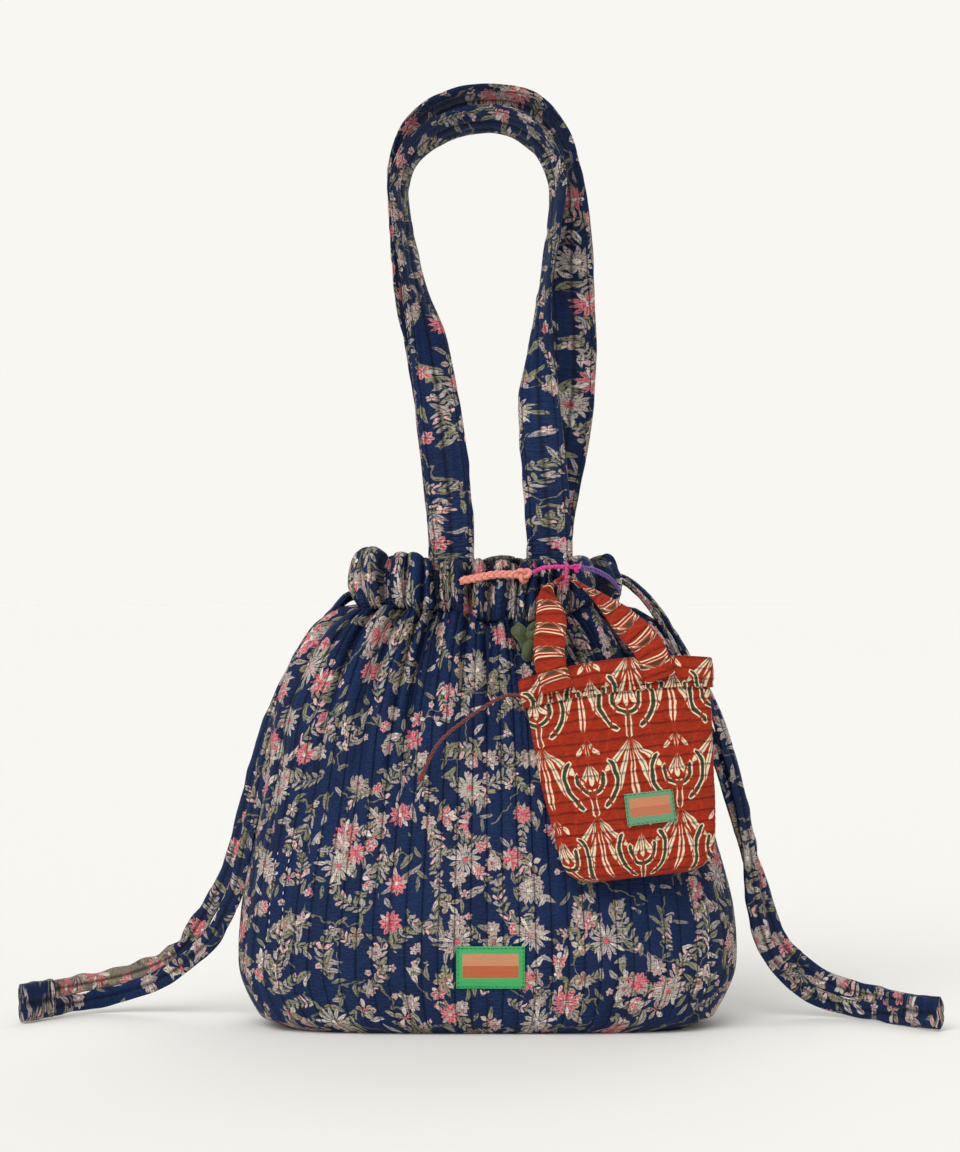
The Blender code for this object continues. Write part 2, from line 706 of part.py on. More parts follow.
def build_hanging_loop(material):
    """The small ring of cord that holds the charm's strap to the tie cord."""
    top = TIE_PLACE[2] + TIE_DIAMETER / 2 + GAP
    bottom = LOOP_PLACE[2] - CHARM_STRAP_THICKNESS / 2 - HANGING_LOOP_SLACK
    half_z = (top - bottom + HANGING_LOOP_DIAMETER) / 2
    x, y = outline(HANGING_LOOP_HALF_DEPTH, half_z, 4.0, np.arange(24) / 24)
    centre_y = (TIE_PLACE[1] + LOOP_PLACE[1]) / 2
    ring = [(LOOP_PLACE[0], centre_y + a, (top + bottom) / 2 + b) for a, b in zip(x, y, strict=True)]
    return build_cord("charm_hanging_loop", ring, HANGING_LOOP_DIAMETER, 24, material, closed=True)


def main():
    for old in list(bpy.data.objects):
        bpy.data.objects.remove(old)

    navy = make_material("navy_quilt", (0.012, 0.030, 0.118), 0.55)
    rust = make_material("rust_cotton", (0.480, 0.042, 0.012), 0.8)
    woven = make_material("woven_label", (0.038, 0.462, 0.138), 0.7)
    salmon = make_material("salmon_silk", (0.800, 0.230, 0.180), 0.5)
    magenta = make_material("magenta_silk", (0.560, 0.030, 0.190), 0.5)
    purple = make_material("purple_silk", (0.210, 0.080, 0.400), 0.5)
    olive = make_material("olive_silk", (0.070, 0.105, 0.012), 0.6)

    build_body(navy)
    build_casing("casing_front", LEFT - 1, RIGHT, navy)
    build_casing("casing_back", RIGHT, LEFT, navy)

    low = LEDGE_Z + GAP
    high = MOUTH_Z - CASING_WALL * 1.7 - GAP
    middle = (low + high) / 2
    build_channel_strap("drawstring_left", LEFT, low, middle - GAP / 2, navy)
    build_channel_strap("drawstring_right", RIGHT, middle + GAP / 2, high, navy)
    left_route = tail_route(LEFT_TAIL, -1, (low + middle) / 2 + CHANNEL_MARGIN)
    right_route = tail_route(RIGHT_TAIL, 1, (middle + high) / 2)
    build_strap("drawstring_left_tail", left_route, 46, navy)
    build_strap("drawstring_right_tail", right_route, 46, navy)

    build_strap("handle_front", handle_route(FRONT_HANDLE, -1), 60, navy)
    build_strap("handle_back", handle_route(BACK_HANDLE, 1), 60, navy)

    build_label(woven)
    build_charm_pouch(rust)
    build_charm_band(rust)
    build_charm_strap(rust)
    build_charm_label(woven)
    build_cord("charm_drawcord", CHARM_CORD_ROUTE, CHARM_CORD_DIAMETER, 16, rust)

    build_cord("salmon_braid", BRAID_ROUTE, BRAID_DIAMETER, 9, salmon)
    build_cord("magenta_tie_cord", MAGENTA_ROUTE, TIE_DIAMETER, 9, magenta)
    build_cord("purple_tie_cord", PURPLE_ROUTE, TIE_DIAMETER, 11, purple)
    build_cord("olive_ribbon_knot", RIBBON_ROUTE, RIBBON_DIAMETER, 6, olive)
    build_hanging_loop(magenta)


main()
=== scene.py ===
"""The looks of a quilted drawstring bag: printed satin, gathers, straps, silk ties and the charm pouch.

Every piece is built in the packed frame, in metres with +Z up and the front facing -Y. The outline
formulas and the routes of straps and cords are those of the part's own source.
"""

import logging
import math
from dataclasses import dataclass
from enum import Enum
from typing import Callable, Sequence

import bpy
import numpy as np
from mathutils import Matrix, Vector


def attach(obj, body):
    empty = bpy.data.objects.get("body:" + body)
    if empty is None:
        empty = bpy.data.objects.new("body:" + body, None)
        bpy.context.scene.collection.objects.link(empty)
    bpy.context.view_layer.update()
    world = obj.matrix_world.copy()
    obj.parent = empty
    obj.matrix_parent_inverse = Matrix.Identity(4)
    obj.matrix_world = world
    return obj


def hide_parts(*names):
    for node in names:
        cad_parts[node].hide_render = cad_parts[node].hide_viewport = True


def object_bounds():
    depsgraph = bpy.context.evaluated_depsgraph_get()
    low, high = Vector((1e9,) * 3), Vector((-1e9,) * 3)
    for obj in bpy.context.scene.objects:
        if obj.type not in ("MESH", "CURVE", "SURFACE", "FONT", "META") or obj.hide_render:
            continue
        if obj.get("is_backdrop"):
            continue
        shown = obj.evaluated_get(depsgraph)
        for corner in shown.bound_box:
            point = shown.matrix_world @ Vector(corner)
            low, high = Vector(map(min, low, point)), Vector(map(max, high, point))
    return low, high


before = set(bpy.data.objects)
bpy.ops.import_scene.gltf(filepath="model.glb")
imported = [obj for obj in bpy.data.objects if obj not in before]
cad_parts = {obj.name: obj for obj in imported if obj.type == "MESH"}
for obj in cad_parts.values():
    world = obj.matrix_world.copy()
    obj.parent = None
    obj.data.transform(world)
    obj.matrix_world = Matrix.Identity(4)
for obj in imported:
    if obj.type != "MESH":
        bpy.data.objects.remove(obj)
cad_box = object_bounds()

Array = np.ndarray
Material = bpy.types.Material
Socket = bpy.types.NodeSocket
Colour = str | tuple[float, float, float, float] | bpy.types.NodeSocket
Surface = Callable[[Array, Array, Array], Array]

LOG = logging.getLogger("bag")

# Seen from above, a place on the bag's outline is the share of the way round it from the front's
# middle: a quarter is the right side, a half the back's middle and three quarters the left side.
RIGHT, BACK, LEFT = 0.25, 0.5, 0.75

# Quilting: the distance between two rows of stitches on the body's cloth and on the straps'
BODY_PITCH = 0.0116
STRAP_PITCH = 0.0080


class Body(Enum):
    """The packed bodies that pieces ride on."""

    BAG = "bag"
    LOOP = "charm_loop"
    CHARM = "charm"


class Slot(Enum):
    """The record's material slots."""

    NAVY_QUILT = "navy_quilt"
    NAVY_STRAP = "navy_strap"
    RUST = "rust_cotton"
    LABEL = "woven_label"
    SALMON = "salmon_silk"
    MAGENTA = "magenta_silk"
    PURPLE = "purple_silk"
    OLIVE = "olive_silk"


# Curves and noise


def hermite(ys: Array, slopes: Array, i: Array, h: Array, t: Array) -> Array:
    """Reads the cubic from point i to the next one, h apart, at the share t of the way."""
    return (
        ys[i] * (2 * t**3 - 3 * t**2 + 1)
        + ys[i + 1] * (3 * t**2 - 2 * t**3)
        + slopes[i] * h * (t**3 - 2 * t**2 + t)
        + slopes[i + 1] * h * (t**3 - t**2)
    )


def smooth(xs: Sequence[float], ys: Sequence[float], x: Array) -> Array:
    """Reads a smooth curve that doesn't overshoot its points.

    Args:
        xs: Where the curve's points are, rising.
        ys: The curve's value at each.
        x: Where it is read.

    Returns:
        The curve's values at x.
    """
    xs, ys = np.asarray(xs, float), np.asarray(ys, float)
    steps = np.diff(ys) / np.diff(xs)
    slopes = np.concatenate([[steps[0]], np.zeros(len(xs) - 2), [steps[-1]]])
    same_way = steps[:-1] * steps[1:] > 0
    harmonic = 2 * steps[:-1] * steps[1:] / np.where(same_way, steps[:-1] + steps[1:], 1)
    slopes[1:-1] = np.where(same_way, harmonic, 0)
    i = np.clip(np.searchsorted(xs, x) - 1, 0, len(xs) - 2)
    h = xs[i + 1] - xs[i]
    t = np.clip((x - xs[i]) / h, 0, 1)
    return hermite(ys, slopes, i, h, t)


def along(route: Sequence[Sequence[float]], count: int) -> Array:
    """Reads rows evenly along a smooth curve through a route.

    Args:
        route: Rows whose first three columns are a place; the other columns go with it.
        count: How many rows to read.

    Returns:
        The rows read, one for each station.
    """
    rows = np.asarray(route, float)
    reach = reach_along(rows[:, :3])
    at = np.linspace(0, reach[-1], count)
    steps = np.diff(rows, axis=0) / np.diff(reach)[:, None]
    slopes = np.vstack([steps[:1], (steps[:-1] + steps[1:]) / 2, steps[-1:]])
    i = np.clip(np.searchsorted(reach, at) - 1, 0, len(reach) - 2)
    h = (reach[i + 1] - reach[i])[:, None]
    t = (at - reach[i])[:, None] / h
    return hermite(rows, slopes, i, h, t)


def reach_along(path: Array) -> Array:
    """How far along a path each of its points is."""
    return np.concatenate([[0], np.cumsum(np.linalg.norm(np.diff(path, axis=0), axis=1))])


def squared(angle: Array, wide: float, high: float) -> tuple[Array, Array]:
    """A circle's x and y at each angle, squared off by the two powers."""
    cos, sin = np.cos(angle), np.sin(angle)
    return np.sign(cos) * np.abs(cos) ** wide, np.sign(sin) * np.abs(sin) ** high


def outline(
    half_width: float, half_depth: float, squareness: float, places: Array, push: Array = 0.0
) -> tuple[Array, Array]:
    """Points of a rounded-box outline.

    Args:
        half_width: Half of the outline's width.
        half_depth: Half of its depth.
        squareness: The power of its superellipse.
        places: Shares of the way round it from the front's middle.
        push: How far each point is pushed along the outline's outward direction.

    Returns:
        The points' x and y.
    """
    angle = np.linspace(-math.pi / 2, 1.5 * math.pi, 1441)
    x, y = squared(angle, 2 / squareness, 2 / squareness)
    x, y = half_width * x, half_depth * y
    reach = np.concatenate([[0], np.cumsum(np.hypot(np.diff(x), np.diff(y)))])
    at = (np.asarray(places) % 1.0) * reach[-1]
    step = reach[-1] / 400
    px, py = np.interp(at, reach, x), np.interp(at, reach, y)
    ahead, behind = (at + step) % reach[-1], (at - step) % reach[-1]
    tx = np.interp(ahead, reach, x) - np.interp(behind, reach, x)
    ty = np.interp(ahead, reach, y) - np.interp(behind, reach, y)
    size = np.hypot(tx, ty)
    return px + push * ty / size, py - push * tx / size


def ripple(u: Array, v: Array, cells_u: int, cells_v: int, seed: int) -> Array:
    """Smooth noise from -1 to 1 that joins up with itself round u.

    Args:
        u: Places round, where 0 and 1 are the same place.
        v: Places along, from 0 to 1.
        cells_u: How many humps go round.
        cells_v: How many go along.
        seed: Fixes the noise.

    Returns:
        The noise at each place.
    """
    grid = np.random.default_rng(seed).uniform(-1, 1, (cells_u, cells_v + 2))
    a, b = (np.asarray(u) % 1.0) * cells_u, np.clip(v, 0, 1) * cells_v
    i, j = np.floor(a).astype(int), np.floor(b).astype(int)
    s, t = a - i, b - j
    s, t = s * s * (3 - 2 * s), t * t * (3 - 2 * t)
    i, k = i % cells_u, (i + 1) % cells_u
    near = grid[i, j] * (1 - s) + grid[k, j] * s
    far = grid[i, j + 1] * (1 - s) + grid[k, j + 1] * s
    return near * (1 - t) + far * t


def puffs(places: Array, count: int, seed: int, spread: float = 0.45) -> tuple[Array, Array]:
    """Irregular puffs between the creases of a gathered edge.

    Args:
        places: Shares of the way round the edge.
        count: How many puffs go round.
        seed: Fixes their widths.
        spread: How much the widths differ.

    Returns:
        How far across its puff each place is, and its puff's own random number, both from 0 to 1.
    """
    rng = np.random.default_rng(seed)
    edges = np.concatenate([[0], np.cumsum(rng.uniform(1 - spread, 1 + spread, count))])
    edges /= edges[-1]
    numbers = rng.uniform(0, 1, count)
    at = np.asarray(places) % 1.0
    i = np.clip(np.searchsorted(edges, at, side="right") - 1, 0, count - 1)
    return (at - edges[i]) / (edges[i + 1] - edges[i]), numbers[i]


def dome(share: Array, power: float = 0.5) -> Array:
    """A rounded hump from 0 at the ends of a puff to 1 in its middle."""
    return np.clip(1 - (2 * share - 1) ** 2, 0, 1) ** power


# Meshes


class ClothMesh:
    """Grids of points made into one mesh, with a UV map in metres of cloth."""

    def __init__(self) -> None:
        """Starts with no grids."""
        self.points: list[Array] = []
        self.faces: list[list[int]] = []
        self.uvs: list[Array] = []
        self.slots: list[int] = []
        self.fold_shades: list[Array] = []
        self.count = 0

    def add_grid(
        self, points: Array, u: Array, v: Array, slot: int | Array = 0,
        loop_rows: bool = False, fold: Array | float = 0.0
    ) -> None:
        """Adds a closed skin from a grid whose columns run round it.

        Args:
            points: The grid, as rows, columns and coordinates.
            u: The cloth's place across, for each column and once more for the seam. It may have rows.
            v: The cloth's place along, for each row, and once more if the rows loop.
            slot: The material's number, one for all or one for each strip between rows.
            loop_rows: Whether the last row joins the first. Otherwise both ends are capped.
            fold: How deep in a fold each point is, from 0 to 1.
        """
        rows, columns = points.shape[:2]
        strips = rows if loop_rows else rows - 1
        i, j = np.meshgrid(np.arange(strips), np.arange(columns), indexing="ij")
        m, n = (i + 1) % rows, (j + 1) % columns
        quads = np.stack([i * columns + j, i * columns + n, m * columns + n, m * columns + j], -1)
        quads = quads.reshape(-1, 4)
        v = np.asarray(v, float)
        grid_u, grid_v = np.broadcast_arrays(np.atleast_2d(u), v if v.ndim == 2 else v[:, None])
        cloth = np.stack([grid_u, grid_v], -1)
        corners = [cloth[i, j], cloth[i, j + 1], cloth[i + 1, j + 1], cloth[i + 1, j]]
        uv = np.stack(corners, -2).reshape(-1, 4, 2)
        flat = points.reshape(-1, 3)
        centre = flat.mean(axis=0)
        a, b, c, d = (flat[quads[:, k]] - centre for k in range(4))
        volume = (np.cross(b, c) * a).sum() + (np.cross(c, d) * a).sum()
        ends = [] if loop_rows else [(0, -1), (rows - 1, 1)]
        if volume < 0:
            quads, uv = quads[:, ::-1], uv[:, ::-1]
        self.faces += (quads + self.count).tolist()
        self.uvs.append(uv.reshape(-1, 2))
        strip_slots = np.broadcast_to(slot, strips)
        self.slots += np.repeat(strip_slots, columns).tolist()
        for row, way in ends:
            ring = np.arange(columns) + row * columns
            order = slice(None, None, way if volume > 0 else -way)
            self.faces.append((ring[order] + self.count).tolist())
            self.uvs.append(cloth[row, :columns][order])
            self.slots.append(int(strip_slots[0 if row == 0 else -1]))
        self.points.append(flat)
        self.fold_shades.append(np.broadcast_to(fold, (rows, columns)).reshape(-1))
        self.count += len(flat)

    def build(self, name: str, *materials: Material, crease: float | None = None) -> bpy.types.Object:
        """Makes the object.

        Args:
            name: The piece's name.
            materials: Its materials, in the order of the grids' slot numbers.
            crease: The angle in degrees past which an edge is sharp. None leaves every edge soft.

        Returns:
            The object, at the origin.
        """
        mesh = bpy.data.meshes.new(name)
        mesh.from_pydata(np.concatenate(self.points).tolist(), [], self.faces)
        layer = mesh.uv_layers.new(name="cloth")
        layer.data.foreach_set("uv", np.concatenate(self.uvs).astype(np.float32).ravel())
        # The fold attribute is painted shade: the materials darken their colour by it in folds, creases and
        # hollows.
        fold_shades = mesh.attributes.new("fold", "FLOAT", "POINT")
        fold_shades.data.foreach_set("value", np.concatenate(self.fold_shades).astype(np.float32))
        for material in materials:
            mesh.materials.append(material)
        mesh.polygons.foreach_set("material_index", self.slots)
        mesh.shade_smooth()
        if crease is not None:
            mesh.set_sharp_from_angle(angle=math.radians(crease))
        mesh.update()
        piece = bpy.data.objects.new(name, mesh)
        bpy.context.scene.collection.objects.link(piece)
        return piece


def dress(piece: bpy.types.Object, body: Body, slot: Slot, *nodes: str) -> bpy.types.Object:
    """Ties a finished piece to its body, its material slot and the nodes that it stands for.

    Args:
        piece: The finished piece.
        body: The body that it moves with.
        slot: The slot that it takes its finish from.
        nodes: The packed nodes that it replaces.

    Returns:
        The piece.
    """
    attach(piece, body.value)
    if nodes:
        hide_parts(*nodes)
    LOG.info("%s rides on %s, stands for %s", piece.name, body.value, ", ".join(nodes) or "nothing")
    return piece


def sew(
    points: Array, u: Array, v: Array, name: str, material: Material, body: Body, slot: Slot, node: str,
    **options: Array | bool
) -> bpy.types.Object:
    """Makes a dressed piece of one grid.

    Args:
        points, u, v: The grid and its cloth's places, as add_grid takes them.
        name: The piece's name.
        material: Its material.
        body, slot, node: What it is dressed with.
        options: The grid's other options.

    Returns:
        The piece.
    """
    mesh = ClothMesh()
    mesh.add_grid(points, u, v, **options)
    return dress(mesh.build(name, material), body, slot, node)


def strap_frames(rows: Array) -> tuple[Array, Array]:
    """The directions across and out of a flat strap at each row of its route.

    Args:
        rows: Rows of x, y, z and the turn. With no turn the width lies in the picture's plane, and
            with a quarter turn along Y.

    Returns:
        The unit directions across the strap and out of its face.
    """
    places, turns = rows[:, :3], rows[:, 3]
    tangents = np.gradient(places, axis=0)
    tangents /= np.linalg.norm(tangents, axis=1)[:, None]
    depth = np.array([0.0, 1.0, 0.0])
    flat = np.cross(depth, tangents)
    flat /= np.linalg.norm(flat, axis=1)[:, None]
    across = np.cos(turns)[:, None] * flat + np.sin(turns)[:, None] * depth
    across -= (across * tangents).sum(axis=1)[:, None] * tangents
    across /= np.linalg.norm(across, axis=1)[:, None]
    return across, np.cross(tangents, across)


@dataclass
class QuiltedStrap:
    """A flat padded strap, quilted along its length.

    Attributes:
        width: Its width.
        thickness: Its thickness at the top of a channel.
        channels: How many quilted channels lie side by side on each face.
        crease: How deep the rows of stitches draw in, as a share of the thickness.
        wander: How far its edges wander in and out, in metres.
        seed: Fixes the wander.
        around: How many points go round its section.
    """

    width: float
    thickness: float
    channels: int
    crease: float = 0.42
    wander: float = 0.0008
    seed: int = 1
    around: int = 44

    def grid(self, rows: Array, grown: Array | float = 1.0) -> Array:
        """Sweeps the section along a route.

        Args:
            rows: Rows of x, y, z and turn, one for each station.
            grown: How much wider than its own width the strap is at each station.

        Returns:
            The points, one row for each station.
        """
        across, out = strap_frames(rows)
        angle = np.linspace(0, 2 * math.pi, self.around, endpoint=False)
        side, face = squared(angle, 0.75, 0.55)
        share = (side + 1) / 2 * self.channels % 1.0
        padded = 1 - self.crease * (1 - dome(share, 0.45))
        padded = np.where(np.abs(side) > 0.97, 1.0, padded)
        station = np.linspace(0, 1, len(rows))
        humps = max(4, len(rows) // 7)
        wide = self.wander * ripple(angle / (2 * math.pi), station[:, None], 3, humps, self.seed)
        pucker = 1 + 0.22 * ripple(
            angle / (2 * math.pi), station[:, None], self.channels * 2, humps * 2, self.seed + 1
        )
        width = np.broadcast_to(np.asarray(grown) * self.width, len(rows))[:, None]
        u = side * (width / 2 + wide)
        w = face * padded * pucker * self.thickness / 2
        return rows[:, None, :3] + across[:, None] * u[..., None] + out[:, None] * w[..., None]

    def cloth(self, rows: Array) -> tuple[Array, Array]:
        """The strap's UV: channels across, metres along.

        Args:
            rows: The stations that grid() took.

        Returns:
            The cloth's place across for each column, and along for each row.
        """
        share = np.linspace(0, 2, self.around + 1)
        u = self.channels * STRAP_PITCH * (share + self.seed)
        return u, reach_along(rows[:, :3]) + 0.137 * self.seed


def rope_frames(path: Array, looped: bool = False) -> tuple[Array, Array]:
    """Two directions square to a path that turn as little as they can along it.

    Args:
        path: The path's points.
        looped: Whether its last point joins its first.

    Returns:
        The two unit directions at each point.
    """
    wrapped = np.vstack([path[-1:], path, path[:1]]) if looped else path
    tangents = np.gradient(wrapped, axis=0)
    tangents = tangents[1:-1] if looped else tangents
    tangents /= np.linalg.norm(tangents, axis=1)[:, None]
    start = np.eye(3)[np.argmin(np.abs(tangents[0]))]
    first = np.empty_like(path)
    for i, tangent in enumerate(tangents):
        start = start - tangent * (start @ tangent)
        start = start / np.linalg.norm(start)
        first[i] = start
    return first, np.cross(tangents, first)


def winding(path: Array, turn: Array, looped: bool = False) -> Array:
    """The direction away from a path that winds round it, at each point's own turn."""
    first, second = rope_frames(path, looped)
    return first * np.cos(turn)[:, None] + second * np.sin(turn)[:, None]


def knot(
    centre: Sequence[float], wide: Sequence[float], deep: float, high: Sequence[float], count: int
) -> Array:
    """A closed three-lobed knot's middle line.

    Args:
        centre: Its middle.
        wide, high: How far its single and its double wave go across and up.
        deep: How far it weaves forwards and back.
        count: How many points it has.

    Returns:
        The points.
    """
    angle = np.linspace(0, 2 * math.pi, count, endpoint=False)
    return np.column_stack([
        wide[0] * np.sin(angle) + wide[1] * np.sin(2 * angle), -deep * np.sin(3 * angle),
        high[0] * np.cos(angle) - high[1] * np.cos(2 * angle)
    ]) + np.array(centre)


def strand(path: Array, radius: Array | float, sides: int = 10, looped: bool = False) -> Array:
    """A round strand's skin along a path.

    Args:
        path: Its middle line.
        radius: Its radius, one for all or one for each point.
        sides: How many points go round it.
        looped: Whether it closes on itself.

    Returns:
        The grid of its points.
    """
    first, second = rope_frames(path, looped)
    angle = np.linspace(0, 2 * math.pi, sides, endpoint=False)
    ring = first[:, None] * np.cos(angle)[None, :, None] + second[:, None] * np.sin(angle)[None, :, None]
    return path[:, None] + ring * np.broadcast_to(radius, len(path))[:, None, None]


def add_strand(cloth: ClothMesh, path: Array, radius: Array | float, **options: int | bool) -> None:
    """Adds a round strand to a mesh, with metres round and along as its UV.

    Args:
        cloth: The mesh that it joins.
        path: Its middle line.
        radius: Its radius, one for all or one for each point.
        options: The strand's sides, whether it is looped, and its material's slot.
    """
    slot = options.pop("slot", 0)
    grid = strand(path, radius, **options)
    looped = bool(options.get("looped", False))
    line = np.vstack([path, path[:1]]) if looped else path
    v = reach_along(line)
    girth = 2 * math.pi * float(np.max(radius))
    cloth.add_grid(grid, np.linspace(0, girth, grid.shape[1] + 1), v, slot, looped)


# Materials


def linear(hex_colour: str) -> tuple[float, float, float, float]:
    """Turns an sRGB hex colour to linear light, with full alpha."""
    values = [int(hex_colour[i : i + 2], 16) / 255 for i in (1, 3, 5)]
    red, green, blue = (x / 12.92 if x <= 0.04045 else ((x + 0.055) / 1.055) ** 2.4 for x in values)
    return red, green, blue, 1.0


def add_node(
    tree: bpy.types.NodeTree, kind: str, inputs: dict | None = None, **settings: object
) -> bpy.types.Node:
    """Adds a node with its settings and links.

    Args:
        tree: The tree that it joins.
        kind: The node's type.
        inputs: A number, colour, reading or socket for each input, by its name or place.
        settings: The node's own settings.

    Returns:
        The node.
    """
    node = tree.nodes.new(kind)
    for name, value in settings.items():
        setattr(node, name, value)
    for key, value in (inputs or {}).items():
        value = value.socket if isinstance(value, Reading) else value
        if isinstance(value, Socket):
            tree.links.new(value, node.inputs[key])
        else:
            node.inputs[key].default_value = value
    return node


def operator(operation: str, meaning: str) -> Callable[..., "Reading"]:
    """Makes the method behind one of a reading's signs.

    Args:
        operation: The operation's name in Blender.
        meaning: The method's docstring.

    Returns:
        The method.
    """

    def method(self: "Reading", *others: "Reading | float") -> "Reading":
        """Applies it."""
        return self.math(operation, *others)

    method.__doc__ = meaning
    return method


class Reading:
    """A number that a material reads at each point of a surface, with arithmetic on it."""

    def __init__(self, tree: bpy.types.NodeTree, socket: Socket) -> None:
        """Keeps the tree and the socket that gives the number."""
        self.tree = tree
        self.socket = socket

    def math(self, operation: str, *others: "Reading | float", clamp: bool = False) -> "Reading":
        """Works out one operation on this reading.

        Args:
            operation: The operation's name in Blender.
            others: Its other values.
            clamp: Whether the result is held between 0 and 1.

        Returns:
            The result.
        """
        values = dict(enumerate((self, *others)))
        node = add_node(self.tree, "ShaderNodeMath", values, operation=operation, use_clamp=clamp)
        return Reading(self.tree, node.outputs[0])

    __add__ = operator("ADD", "Adds.")
    __sub__ = operator("SUBTRACT", "Subtracts.")
    __mul__ = operator("MULTIPLY", "Multiplies.")
    __truediv__ = operator("DIVIDE", "Divides.")
    __mod__ = operator("FLOORED_MODULO", "Gives what is left over from whole steps of the other.")
    __abs__ = operator("ABSOLUTE", "Takes the sign away.")
    __lt__ = operator("LESS_THAN", "Gives 1 where it is less, and 0 elsewhere.")
    __gt__ = operator("GREATER_THAN", "Gives 1 where it is more, and 0 elsewhere.")

    def __neg__(self) -> "Reading":
        """Turns the sign."""
        return self * -1.0

    def flipped(self) -> "Reading":
        """1 less this."""
        return -self + 1.0

    def within(self, limit: "Reading | float", soft: float) -> "Reading":
        """1 inside a limit and 0 outside, over a soft edge.

        Args:
            limit: The limit.
            soft: The width of the edge.

        Returns:
            The mask.
        """
        return ((self - limit) * (-1.0 / soft)).math("ADD", 0.5, clamp=True)


class Cloth:
    """The cloth's own place at each point, in millimetres, as a material reads it."""

    def __init__(self, tree: bpy.types.NodeTree, uv_name: str = "cloth") -> None:
        """Reads the UV map and splits it."""
        self.tree = tree
        uv = add_node(tree, "ShaderNodeUVMap", uv_map=uv_name)
        self.vector = self.scaled(uv.outputs[0], (1000.0, 1000.0, 1.0))
        self.x, self.y = self.split(self.vector)

    def scaled(self, vector: Socket, scale: tuple[float, float, float]) -> Socket:
        """A vector times a scale for each axis."""
        node = add_node(self.tree, "ShaderNodeVectorMath", {0: vector, 1: scale}, operation="MULTIPLY")
        return node.outputs[0]

    def split(self, vector: Socket) -> tuple[Reading, Reading]:
        """A vector's x and y as readings."""
        node = add_node(self.tree, "ShaderNodeSeparateXYZ", {0: vector})
        return Reading(self.tree, node.outputs[0]), Reading(self.tree, node.outputs[1])

    def noise(self, across: float, along_cloth: float, detail: float = 2.0) -> Reading:
        """Noise from 0 to 1 with grains of the given size.

        Args:
            across: The grains' width in millimetres.
            along_cloth: Their length in millimetres.
            detail: How much finer noise is laid over them.

        Returns:
            The noise.
        """
        vector = self.scaled(self.vector, (1 / across, 1 / along_cloth, 1.0))
        node = add_node(
            self.tree, "ShaderNodeTexNoise",
            {"Vector": vector, "Scale": 1.0, "Detail": detail, "Roughness": 0.55}, noise_dimensions="2D"
        )
        return Reading(self.tree, node.outputs[0])

    def mix(self, under: Colour, over: Colour, mask: Reading | float) -> Socket:
        """One colour laid over another where a mask is 1.

        Args:
            under: The colour below, as a hex value or a socket.
            over: The colour above.
            mask: Where it shows.

        Returns:
            The colour's socket.
        """
        colours = [linear(c) if isinstance(c, str) else c for c in (under, over)]
        inputs = {0: mask, 6: colours[0], 7: colours[1]}
        node = add_node(self.tree, "ShaderNodeMix", inputs, data_type="RGBA", clamp_factor=True)
        return node.outputs[2]

    def fold(self) -> Reading:
        """How deep in a fold of the cloth each point lies, which the meshes carry."""
        node = add_node(self.tree, "ShaderNodeAttribute", attribute_name="fold")
        return Reading(self.tree, node.outputs["Fac"])


Motif = tuple[Reading, Reading, Reading]


